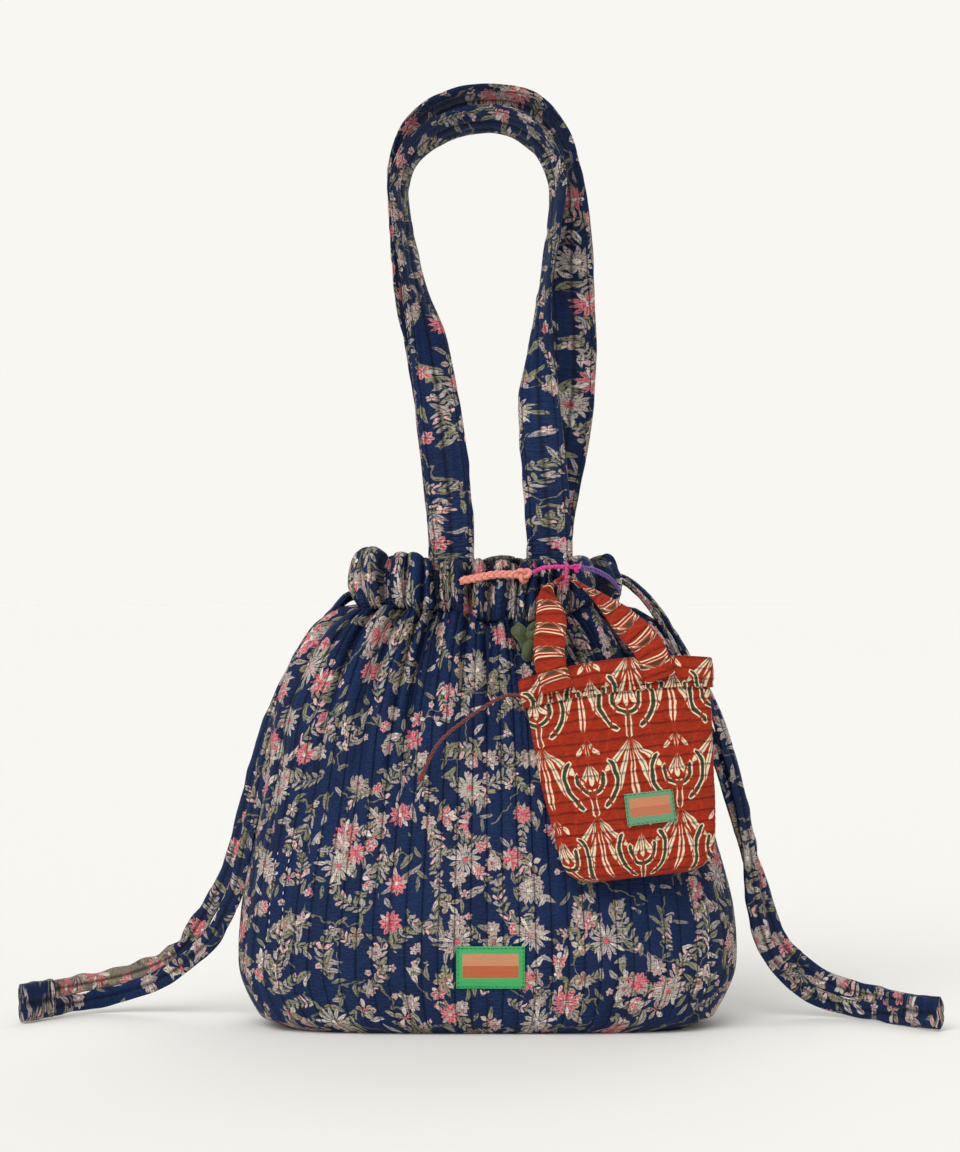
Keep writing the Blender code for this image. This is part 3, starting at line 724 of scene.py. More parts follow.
class Scatter:
    """Motifs scattered over the cloth, one in each cell of a loose grid."""

    def __init__(
        self, cloth: Cloth, cell: float, seed: float, loose: float = 0.75, warp: float = 1.2
    ) -> None:
        """Finds each point's place in its own motif.

        Args:
            cloth: The cloth that they are printed on.
            cell: The distance between motifs in millimetres.
            seed: Moves the grid, so that two layers don't share their places.
            loose: How far the motifs stray from the grid, from 0 to 1.
            warp: How far the drawing wavers, in millimetres.
        """
        tree = cloth.tree
        waver = add_node(
            tree, "ShaderNodeTexNoise",
            {"Vector": cloth.scaled(cloth.vector, (0.11, 0.11, 1.0)), "Scale": 1.0, "Detail": 1.0},
            noise_dimensions="2D"
        )
        offset = (seed * 37.7 - warp * 0.5, seed * 91.3 - warp * 0.5, 0.0)
        moved = add_node(
            tree, "ShaderNodeVectorMath", {0: waver.outputs[1], 1: (warp, warp, 0.0), 2: cloth.vector},
            operation="MULTIPLY_ADD"
        )
        moved = add_node(tree, "ShaderNodeVectorMath", {0: moved.outputs[0], 1: offset}, operation="ADD")
        self.moved = moved.outputs[0]
        cells = add_node(
            tree, "ShaderNodeTexVoronoi", {"Vector": self.moved, "Scale": 1 / cell, "Randomness": loose},
            voronoi_dimensions="2D"
        )
        split = add_node(tree, "ShaderNodeSeparateColor", {0: cells.outputs["Color"]})
        self.chance, self.tint, self.size = (Reading(tree, split.outputs[i]) for i in range(3))
        local = add_node(
            tree, "ShaderNodeVectorMath", {0: self.moved, 1: cells.outputs["Position"]}, operation="SUBTRACT"
        )
        turned = add_node(
            tree, "ShaderNodeVectorRotate", {"Vector": local.outputs[0], "Angle": self.tint * 37.0},
            rotation_type="Z_AXIS"
        )
        self.x, self.y = cloth.split(turned.outputs[0])
        self.reach = (self.x * self.x + self.y * self.y).math("SQRT")

    def flower(self, radius: float, petals: int, plump: float, heart: float = 0.12) -> Motif:
        """A flower of separate pointed petals.

        Args:
            radius: Its radius in millimetres.
            petals: How many petals it has.
            plump: How much of its sector a petal fills at its widest.
            heart: Where the petals start, as a share of the radius.

        Returns:
            The petals' mask, how far from its middle line a petal is (0 to 1), and a number from 0 to
            1 that changes from petal to petal.
        """
        sector = 2 * math.pi / petals
        angle = self.y.math("ARCTAN2", self.x) + math.pi
        number = ((angle / sector).math("FLOOR") * 0.617 + self.tint * 9.0) % 1.0
        turn = angle % sector - sector / 2
        out, side = self.reach * turn.math("COSINE"), abs(self.reach * turn.math("SINE"))
        long = (self.size * 0.35 + 0.75) * (number * 0.22 + 0.84) * radius
        share = (out / long - heart) / (1 - heart) * 2.0 - 1.0
        widest = plump * radius * math.sin(sector / 2) * 0.62
        width = (share * share).flipped() * (share * 0.32 + 0.95) * widest
        return side.within(width, 0.3), (side / (width + 0.01)).math("MINIMUM", 1.0), number

    def leaf(self, length: float, width: float, bend: float = 0.02) -> tuple[Reading, Reading]:
        """A pointed leaf with a rib.

        Args:
            length: Half its length in millimetres.
            width: Half its width.
            bend: How much it curves.

        Returns:
            The leaf's mask and its rib's.
        """
        along_leaf = self.x / length
        taper = (along_leaf * along_leaf).flipped()
        middle = abs(self.y + self.x * self.x * bend)
        return middle.within(taper * width, 0.3), middle.within(0.28, 0.25)

    def sprig(self, length: float, leaflet: float, pitch: float, bend: float) -> Motif:
        """A curved stem with leaflets on both sides.

        Args:
            length: Half its length in millimetres.
            leaflet: How long a leaflet is.
            pitch: The distance between leaflets.
            bend: How much the stem curves.

        Returns:
            The leaflets' mask, the stem's mask, and a number that changes from leaflet to leaflet.
        """
        far = abs(self.y + self.x * self.x * bend)
        along_stem = self.x / length
        taper = (along_stem * along_stem).flipped().math("MAXIMUM", 0.0)
        long = (taper * 0.6 + 0.4) * leaflet
        leaned = self.x - far * 0.75
        place = abs(leaned % pitch - pitch / 2)
        share = far / long * 2.0 - 1.0
        round_leaf = (share * share).flipped() * (pitch * 0.36)
        inside = abs(along_stem).within(1.0, 0.05)
        number = (leaned / pitch).math("FLOOR") * 0.37 + self.tint * 5.0
        stem = far.within(0.42, 0.25) * inside
        return place.within(round_leaf, 0.3) * inside, stem, number % 1.0


def finish_material(
    cloth: Cloth, colour: Colour, height: Reading, relief: float, shader: dict[str, float | tuple[float, ...]]
) -> None:
    """Ends a cloth material with its shader, bump and output.

    Args:
        cloth: The cloth whose tree it is.
        colour: Its colour.
        height: Its relief, from 0 to 1.
        relief: How deep that relief is, in metres.
        shader: The shader's other values, by the names of its sockets.
    """
    bump = add_node(cloth.tree, "ShaderNodeBump", {"Height": height, "Distance": relief, "Strength": 1.0})
    inputs = {"Base Color": colour, "Normal": bump.outputs[0], **shader}
    principled = add_node(cloth.tree, "ShaderNodeBsdfPrincipled", inputs)
    add_node(cloth.tree, "ShaderNodeOutputMaterial", {0: principled.outputs[0]})


def new_material(name: str) -> Material:
    """An empty node material."""
    material = bpy.data.materials.new(name)
    material.use_nodes = True
    material.node_tree.nodes.clear()
    return material


@dataclass(frozen=True)
class QuiltedFloralSatin:
    """Cotton satin, block printed with flowers and quilted over thin wadding in rows.

    The satin weave gives a soft blue sheen on the bulges, and the stitches draw the cloth into fine
    puckers that run across the rows.

    Attributes:
        name: The material's name.
        ground: The cloth's own colour.
        ground_deep: The same dye where it took more.
        coral, blush, cream, mauve, leaf, stem: The print's colours.
        crowded: How much of the cloth the print covers, from 0 to 1.
        pitch: The distance between two rows of stitches, in millimetres.
    """

    name: str = "quilted_floral_satin"
    ground: str = "#132F5C"
    ground_deep: str = "#0A1A3A"
    coral: str = "#E8636E"
    blush: str = "#EDBBB2"
    cream: str = "#F0E2D2"
    mauve: str = "#B8AB9F"
    leaf: str = "#96916C"
    stem: str = "#807A60"
    crowded: float = 0.60
    pitch: float = 8.0

    def material(self) -> Material:
        """Builds the material.

        Returns:
            The material, which reads the cloth's UV in metres.
        """
        material = new_material(self.name)
        cloth = Cloth(material.node_tree)
        colour = cloth.mix(self.ground, self.ground_deep, cloth.noise(38.0, 61.0))
        patchy = cloth.noise(45.0, 60.0, 1.0)
        here = patchy * 0.8 + (self.crowded - 0.40)

        colour = self.vines(cloth, colour)
        for cell, seed, long, leaflet, pitch, bend in (
            (43.0, 1.0, 19.0, 6.6, 5.0, 0.018), (34.0, 5.0, 14.0, 4.6, 3.7, -0.024)
        ):
            spray = Scatter(cloth, cell, seed, 0.9, 5.0)
            leaflets, stem, number = spray.sprig(long, leaflet, pitch, bend)
            shown = spray.chance < here + 0.16
            petal = cloth.mix(cloth.mix(self.mauve, self.blush, number > 0.84), self.leaf, number < 0.42)
            colour = cloth.mix(colour, self.stem, stem * shown)
            colour = cloth.mix(colour, petal, leaflets * shown)

        for cell, seed, long, wide in ((25.0, 9.0, 7.6, 2.3), (18.0, 12.0, 5.2, 1.6), (21.0, 17.0, 6.2, 1.5)):
            leaves = Scatter(cloth, cell, seed, 0.9, 3.0)
            blade, rib = leaves.leaf(long, wide)
            green = cloth.mix(self.leaf, self.mauve, leaves.size > 0.55)
            green = cloth.mix(green, self.cream, (leaves.size > 0.90) * 0.7)
            green = cloth.mix(green, self.ground, rib * 0.7)
            colour = cloth.mix(colour, green, blade * (leaves.chance < here + 0.04))

        for cut, shift, inner, outer in (
            ((17.0, 14.0, 3.4, 5, 0.85), -0.34, self.blush, self.mauve),
            ((31.0, 51.0, 8.0, 5, 0.62), -0.22, self.leaf, self.blush),
            ((27.0, 21.0, 6.2, 6, 0.85), -0.36, self.coral, self.cream),
            ((51.0, 29.0, 13.0, 13, 0.70), -0.16, self.mauve, self.cream),
            ((43.0, 35.0, 10.0, 11, 0.82), -0.02, self.coral, self.blush),
            ((29.0, 43.0, 7.4, 8, 0.85), -0.14, self.mauve, self.blush),
        ):
            colour = self.bloom(cloth, colour, here + shift, cut, inner, outer)

        worn = cloth.noise(1.6, 1.6, 1.0)
        # The block's print is broken: dark hatching runs through every petal and leaf
        hatch = cloth.noise(0.9, 5.0, 1.0) * 0.6 + cloth.noise(3.2, 1.0, 1.0) * 0.6
        colour = cloth.mix(colour, self.ground_deep, (hatch - 0.60) * 4.0)
        colour = cloth.mix(colour, self.ground_deep, worn * 0.30)
        row = abs(cloth.x % self.pitch - self.pitch / 2)
        seam = (-row).within(-(self.pitch / 2 - 0.5), 0.8)
        # Painted shade: the crease along each row of quilting stitches is darkened nearly to black.
        colour = cloth.mix(colour, "#060B18", seam * 0.72)
        # Painted shade: near black in the gathers, creases and the casing's inside, by the mesh's fold
        # attribute.
        colour = cloth.mix(colour, "#04070F", cloth.fold() * 0.86)
        pucker = cloth.noise(5.5, 1.5, 2.0)
        puckers = pucker * 0.8 + cloth.noise(0.7, 0.7, 0.0) * 0.08 + seam * -0.25
        # A satin's floats lie mostly one way, which the eye reads as a broad, low sheen
        sheen = {"Roughness": 0.5, "Specular IOR Level": 0.14, "Sheen Weight": 0.0}
        finish_material(cloth, colour, puckers, 0.0021, sheen)
        return material

    def vines(self, cloth: Cloth, colour: Colour) -> Socket:
        """Stems that wander between the flowers.

        Args:
            cloth: The cloth.
            colour: The colour below.

        Returns:
            The colour with the stems laid over it.
        """
        bent = Scatter(cloth, 47.0, 3.0, 1.0, 11.0)
        edge = add_node(
            cloth.tree, "ShaderNodeTexVoronoi", {"Vector": bent.moved, "Scale": 1 / 47.0, "Randomness": 1.0},
            voronoi_dimensions="2D", feature="DISTANCE_TO_EDGE"
        )
        near = Reading(cloth.tree, edge.outputs["Distance"]) * 47.0
        shown = cloth.noise(21.0, 21.0, 0.0) > 0.44
        return cloth.mix(colour, self.stem, near.within(0.62, 0.3) * shown)

    def bloom(
        self, cloth: Cloth, colour: Colour, often: Reading, cut: tuple[float, float, float, int, float],
        inner: str, outer: str
    ) -> Socket:
        """One kind of flower, scattered over the cloth.

        Args:
            cloth: The cloth.
            colour: The colour below.
            often: How often a cell holds the flower.
            cut: Its cell, seed, radius, number of petals and plumpness.
            inner: The petals' colour along their middle.
            outer: Their colour along the edge.

        Returns:
            The colour with the flowers laid over it.
        """
        cell, seed, radius, petals, plump = cut
        flowers = Scatter(cloth, cell, seed, 0.72, 2.0)
        mask, rim, number = flowers.flower(radius, petals, plump)
        shown = flowers.chance < often
        petal = cloth.mix(inner, outer, rim.math("POWER", 2.0) * 0.8)
        petal = cloth.mix(petal, cloth.mix(self.mauve, self.cream, flowers.size), number > 0.80)
        petal = cloth.mix(petal, self.ground, rim.within(0.10, 0.08) * 0.35)
        colour = cloth.mix(colour, petal, mask * shown)
        heart = flowers.reach.within(radius * 0.15, 0.4) * shown
        return cloth.mix(colour, cloth.mix(self.cream, self.coral, flowers.tint > 0.5), heart)


@dataclass(frozen=True)
class BlockPrintedCotton:
    """Rust cotton, block printed in cream and dark green and hand stitched in rows.

    Plain weave takes the light evenly, and the rows of stitches pucker it slightly.

    Attributes:
        name: The material's name.
        ground, ground_deep: The dye, and the same where the cloth took more of it.
        cream, green: The print's colours.
        thread: The rows of hand stitches.
        deep_green: The same green where the block pressed hardest.
        tile: The width and height of one motif of the print, in millimetres.
        bands: Whether the print is the curved cross bands of the straps.
    """

    name: str = "block_printed_rust_cotton"
    ground: str = "#A02C14"
    ground_deep: str = "#6A1B0D"
    cream: str = "#DFCFB0"
    green: str = "#3A4733"
    deep_green: str = "#1E2A1C"
    thread: str = "#5A1A10"
    tile: tuple[float, float] = (64.0, 106.0)
    bands: bool = False

    def material(self) -> Material:
        """Builds the material.

        Returns:
            The material, which reads the cloth's UV in metres.
        """
        material = new_material(self.name)
        cloth = Cloth(material.node_tree)
        colour = cloth.mix(self.ground, self.ground_deep, cloth.noise(9.0, 9.0) * 0.55)
        waver = cloth.noise(12.0, 12.0, 1.0) * 3.0 - 1.5
        if self.bands:
            bow = cloth.x % 24.0 - 12.0
            place = (cloth.y + bow * bow * 0.02 + waver * 0.6) % 17.0 - 8.5
            near = abs(place)
            colour = cloth.mix(colour, self.cream, near.within(2.6, 0.35))
            colour = cloth.mix(colour, self.ground, near.within(2.0, 0.3))
            colour = cloth.mix(colour, self.green, abs(place - 0.3).within(1.25, 0.3))
            colour = cloth.mix(colour, self.cream, abs(place + 4.6).within(0.45, 0.3))
            colour = self.fan(cloth, colour, bow, place - 3.4, (-0.9, 0.7), 9.0, 1.2)
        else:
            spot = cloth.x, cloth.y
            places = [
                tuple((at + waver + tile * shift) % tile - tile / 2 for at, tile in zip(spot, self.tile))
                for shift in (0.0, 0.5)
            ]
            for across, up in places:
                colour = self.petals(cloth, colour, across, up)
            for across, up in places:
                colour = self.scrolls(cloth, colour, across, up)
        line = abs((cloth.y + cloth.noise(14.0, 30.0, 1.0) * 2.5) % 8.0 - 4.0)
        dash = cloth.x % 3.6
        stitched = (-line).within(-3.72, 0.2) * dash.within(2.4, 0.2)
        colour = cloth.mix(colour, self.thread, stitched * 0.6)
        relief = cloth.noise(4.5, 2.2, 2.0) * 1.1 + (-line).within(-3.3, 1.2) * -0.7
        # Painted shade: the groove along each row of stitches is darkened with the thread's colour.
        colour = cloth.mix(colour, self.thread, (-line).within(-3.4, 1.0) * 0.25)
        # Painted shade: near black in the band's creases, seam and inside, by the mesh's fold attribute.
        colour = cloth.mix(colour, "#1C0805", cloth.fold() * 0.8)
        # Plain cotton is dull: it scatters nearly all light and keeps only a faint fuzz
        plain = {"Roughness": 0.86, "Specular IOR Level": 0.16, "Sheen Weight": 0.04}
        finish_material(cloth, colour, relief, 0.0017, plain)
        return material

    def petals(self, cloth: Cloth, colour: Colour, across: Reading, up: Reading) -> Socket:
        """A hanging spray of long petals, below one of the print's cups.

        Args:
            cloth: The cloth.
            colour: The colour below.
            across: The place across the motif, from its middle.
            up: The place up the motif, from its middle.

        Returns:
            The colour with the petals laid over it.
        """
        rows = (((-0.62, 0.62), 31.0, 3.0), ((-0.30, 0.30), 44.0, 3.4), ((0.0,), 48.0, 3.4))
        for leans, long, wide in rows:
            colour = self.fan(cloth, colour, across, up + 2.0, leans, long, wide)
        return self.fan(cloth, colour, across, up - 51.5, (-0.55, 0.0, 0.55), 14.0, 2.1)

    def scrolls(self, cloth: Cloth, colour: Colour, across: Reading, up: Reading) -> Socket:
        """A cup with a bud in it, on a stem between two hooks.

        Args:
            cloth: The cloth.
            colour: The colour below.
            across: The place across the motif, from its middle.
            up: The place up the motif, from its middle.

        Returns:
            The colour with the motif laid over it.
        """
        side, rise = abs(across), up - 24.0
        below = rise.math("MINIMUM", 0.0)
        cup = abs((across * across + below * below).math("SQRT") - 9.4)
        cup = cup + (rise - 4.0).math("MAXIMUM", 0.0)
        hook = abs((across * across + rise * rise * 0.8).math("SQRT") - 19.0)
        hook = hook + (-side + 8.5).math("MAXIMUM", 0.0) + (rise - 12.0).math("MAXIMUM", 0.0)
        stem = side + (abs(rise + 17.0) - 8.0).math("MAXIMUM", 0.0)
        line = cup.math("MINIMUM", hook).math("MINIMUM", stem)
        colour = cloth.mix(colour, self.ground, line.within(3.0, 0.35))
        colour = cloth.mix(colour, self.cream, line.within(2.3, 0.35))
        colour = cloth.mix(colour, self.green, (line + 0.15).within(1.5, 0.3))
        colour = cloth.mix(colour, self.deep_green, (line + 0.15).within(0.45, 0.4) * 0.7)
        return self.fan(cloth, colour, across, rise - 12.0, (-0.36, 0.0, 0.36), 17.0, 2.5)

    def fan(
        self, cloth: Cloth, colour: Colour, across: Reading, up: Reading, leans: Sequence[float], long: float,
        wide: float
    ) -> Socket:
        """Long cream petals with a rust vein that spread downwards from one point.

        Args:
            cloth: The cloth.
            colour: The colour below.
            across: The place across, from the point.
            up: The place up, from the point.
            leans: Each petal's lean, in radians.
            long: How long the petals are.
            wide: Half a petal's width.

        Returns:
            The colour with the petals laid over it.
        """
        for lean in sorted(leans, key=abs, reverse=True):
            cos, sin = math.cos(lean), math.sin(lean)
            share = (across * sin - up * cos) / (long / 2) - 1.0
            share = share.math("MINIMUM", 1.0).math("MAXIMUM", -1.0)
            # A leaning petal's tip curls outwards
            curl = (share + 1.0) * (share + 1.0) * (lean * long * 0.055)
            off = abs(across * cos + up * sin - curl)
            square = share * share
            width = (square * square).flipped() * (share * 0.42 + 0.62) * wide
            colour = cloth.mix(colour, self.ground, off.within(width + 0.75, 0.3))
            petal = off.within(width - 0.12, 0.24)
            colour = cloth.mix(colour, self.cream, petal)
            vein = off.within(0.45, 0.3) * (share < 0.45) * petal
            colour = cloth.mix(colour, self.green, vein * 0.75)
        return colour


@dataclass(frozen=True)
class WovenLabelTape:
    """Polyester label tape, satin woven: a green border round plain salmon and orange fields.

    Its threads catch the light in fine level ribs.

    Attributes:
        name: The material's name.
        size: The label's width and height in millimetres.
        border, upper, lower: The yarns' colours.
    """

    name: str = "woven_label_tape"
    size: tuple[float, float] = (48.5, 30.0)
    border: str = "#33AF60"
    upper: str = "#D08B62"
    lower: str = "#C25A30"

    def material(self) -> Material:
        """Builds the material.

        Returns:
            The material, whose UV starts at the label's lower left corner.
        """
        material = new_material(self.name)
        cloth = Cloth(material.node_tree)
        wide, high = self.size
        across, up = abs(cloth.x - wide / 2), abs(cloth.y - high * 0.54)
        inside = across.within(wide * 0.41, 0.3)
        colour = cloth.mix(self.border, self.upper, inside * up.within(high * 0.29, 0.3))
        lower_field = inside * abs(cloth.y - high * 0.40).within(high * 0.145, 0.3)
        colour = cloth.mix(colour, self.lower, lower_field)
        ribs = (cloth.y * (2 * math.pi / 0.9)).math("SINE") * 0.5 + 0.5
        threads = (cloth.x * (2 * math.pi / 0.7)).math("SINE") * 0.25 + ribs
        colour = cloth.mix(colour, "#1F5A38", cloth.noise(1.2, 1.2, 1.0) * 0.3)
        # The ribs catch the light level by level, and the yarns shine a little
        tape = {"Roughness": 0.55, "Specular IOR Level": 0.4, "Sheen Weight": 0.1}
        finish_material(cloth, colour, threads, 0.00018, tape)
        return material


@dataclass(frozen=True)
class SilkCord:
    """Spun silk or viscose cord, plied by hand: fine slanting fibres with a low sheen.

    Attributes:
        name: The material's name.
        colour: Its dye.
        shade: The same dye in the hollows between the plies.
    """

    name: str
    colour: str
    shade: str

    def material(self) -> Material:
        """Builds the material.

        Returns:
            The material, which reads metres round and along the cord.
        """
        material = new_material(self.name)
        cloth = Cloth(material.node_tree)
        slant = (cloth.x * 3.0 + cloth.y * 2.2).math("SINE") * 0.5 + 0.5
        fibres = slant * 0.6 + cloth.noise(0.8, 2.4, 1.0) * 0.7
        # Painted shade: the colour darkens where the slanting plies' relief is low; the noise in it adds
        # random fibre tone.
        colour = cloth.mix(self.colour, self.shade, (-fibres + 0.75) * 0.9)
        # Spun silk has a low broken sheen, which the plies' fine fibres scatter
        silk = {"Roughness": 0.48, "Specular IOR Level": 0.45, "Sheen Weight": 0.2}
        finish_material(cloth, colour, fibres, 0.0005, silk)
        return material


@dataclass(frozen=True)
class PlainCotton:
    """Plain-woven cotton in one dye, such as a lining or a sewing thread.

    Attributes:
        name: The material's name.
        colour: Its dye.
        shade: The dye in its creases.
    """

    name: str
    colour: str
    shade: str

    def material(self) -> Material:
        """Builds the material.

        Returns:
            The material, which reads the cloth's UV in metres.
        """
        material = new_material(self.name)
        cloth = Cloth(material.node_tree)
        weave = (cloth.x * 4.2).math("SINE") * (cloth.y * 4.2).math("SINE") * 0.5 + 0.5
        colour = cloth.mix(self.colour, self.shade, cloth.noise(11.0, 17.0))
        # A plain weave without a sheen: the eye sees only its even, slightly rumpled dye
        relief = weave * 0.3 + cloth.noise(6.0, 3.0)
        finish_material(cloth, colour, relief, 0.0008, {"Roughness": 0.85, "Specular IOR Level": 0.2})
        return material


# Stitches


@dataclass
class RunningStitches:
    """Rows of hand stitches, laid along lines by a Geometry Nodes tree.

    Attributes:
        name: The piece's name.
        pitch: The distance from one stitch to the next.
        length: How long a stitch is.
        radius: The thread's radius.
        seed: Fixes how the stitches differ.
    """

    name: str
    pitch: float
    length: float
    radius: float = 0.00035
    seed: int = 5

    def tree(self, thread: Material) -> bpy.types.NodeTree:
        """Builds the tree that lays one stitch at each step along every line.

        Args:
            thread: The stitches' material.

        Returns:
            The tree, whose inputs are the lines, the pitch, the length, the radius and the seed.
        """
        tree = bpy.data.node_groups.new(f"{self.name}_tree", "GeometryNodeTree")
        sockets = tree.interface
        sockets.new_socket("Lines", in_out="INPUT", socket_type="NodeSocketGeometry")
        for name in ("Pitch", "Length", "Radius"):
            sockets.new_socket(name, in_out="INPUT", socket_type="NodeSocketFloat")
        sockets.new_socket("Seed", in_out="INPUT", socket_type="NodeSocketInt")
        sockets.new_socket("Stitches", in_out="OUTPUT", socket_type="NodeSocketGeometry")
        given = add_node(tree, "NodeGroupInput").outputs
        curve = add_node(tree, "GeometryNodeMeshToCurve", {"Mesh": given["Lines"]})
        steps = add_node(
            tree, "GeometryNodeCurveToPoints", {"Curve": curve.outputs[0], "Length": given["Pitch"]},
            mode="LENGTH"
        )
        half = Reading(tree, given["Length"]) * 0.5
        ends = [add_node(tree, "ShaderNodeCombineXYZ", {"Z": end}).outputs[0] for end in (-half, half)]
        line = add_node(tree, "GeometryNodeCurvePrimitiveLine", {"Start": ends[0], "End": ends[1]})
        fine = add_node(tree, "GeometryNodeResampleCurve", {"Curve": line.outputs[0], "Count": 7})
        place = add_node(tree, "GeometryNodeSplineParameter")
        off = Reading(tree, place.outputs["Factor"]) - 0.5
        taper = off * off * -3.2 + 1.0
        round_end = {"Resolution": 8, "Radius": given["Radius"]}
        profile = add_node(tree, "GeometryNodeCurvePrimitiveCircle", round_end)
        skin = add_node(
            tree, "GeometryNodeCurveToMesh",
            {"Curve": fine.outputs[0], "Profile Curve": profile.outputs[0], "Fill Caps": True, "Scale": taper}
        )
        size = add_node(
            tree, "FunctionNodeRandomValue", {2: 0.78, 3: 1.16, "Seed": given["Seed"]}, data_type="FLOAT"
        )
        laid = add_node(
            tree,
            "GeometryNodeInstanceOnPoints",
            {
                "Points": steps.outputs["Points"], "Instance": skin.outputs[0],
                "Rotation": steps.outputs["Rotation"], "Scale": size.outputs[1]
            },
        )
        real = add_node(tree, "GeometryNodeRealizeInstances", {0: laid.outputs[0]})
        dyed = add_node(tree, "GeometryNodeSetMaterial", {"Geometry": real.outputs[0], "Material": thread})
        add_node(tree, "NodeGroupOutput", {0: dyed.outputs[0]})
        return tree

    def build(self, lines: Sequence[Array], thread: Material, body: Body, slot: Slot) -> None:
        """Lays the stitches and dresses them.

        Args:
            lines: The rows' points.
            thread: The stitches' material.
            body: The body that they ride on.
            slot: The slot that they take their finish from.
        """
        points = np.concatenate(lines)
        starts = np.cumsum([0] + [len(line) for line in lines])
        edges = [(i, i + 1) for a, b in zip(starts[:-1], starts[1:], strict=True) for i in range(a, b - 1)]
        mesh = bpy.data.meshes.new(f"{self.name}_lines")
        mesh.from_pydata(points.tolist(), edges, [])
        holder = bpy.data.objects.new(f"{self.name}_lines", mesh)
        bpy.context.scene.collection.objects.link(holder)
        tree = self.tree(thread)
        modifier = holder.modifiers.new("stitches", "NODES")
        modifier.node_group = tree
        values = {"Pitch": self.pitch, "Length": self.length, "Radius": self.radius, "Seed": self.seed}
        for item in tree.interface.items_tree:
            if item.in_out == "INPUT" and item.name in values:
                modifier[item.identifier] = values[item.name]
        graph = bpy.context.evaluated_depsgraph_get()
        stitched = bpy.data.meshes.new_from_object(holder.evaluated_get(graph))
        stitched.name = self.name
        bpy.data.objects.remove(holder)
        stitched.shade_smooth()
        piece = bpy.data.objects.new(self.name, stitched)
        bpy.context.scene.collection.objects.link(piece)
        dress(piece, body, slot)


# The bag


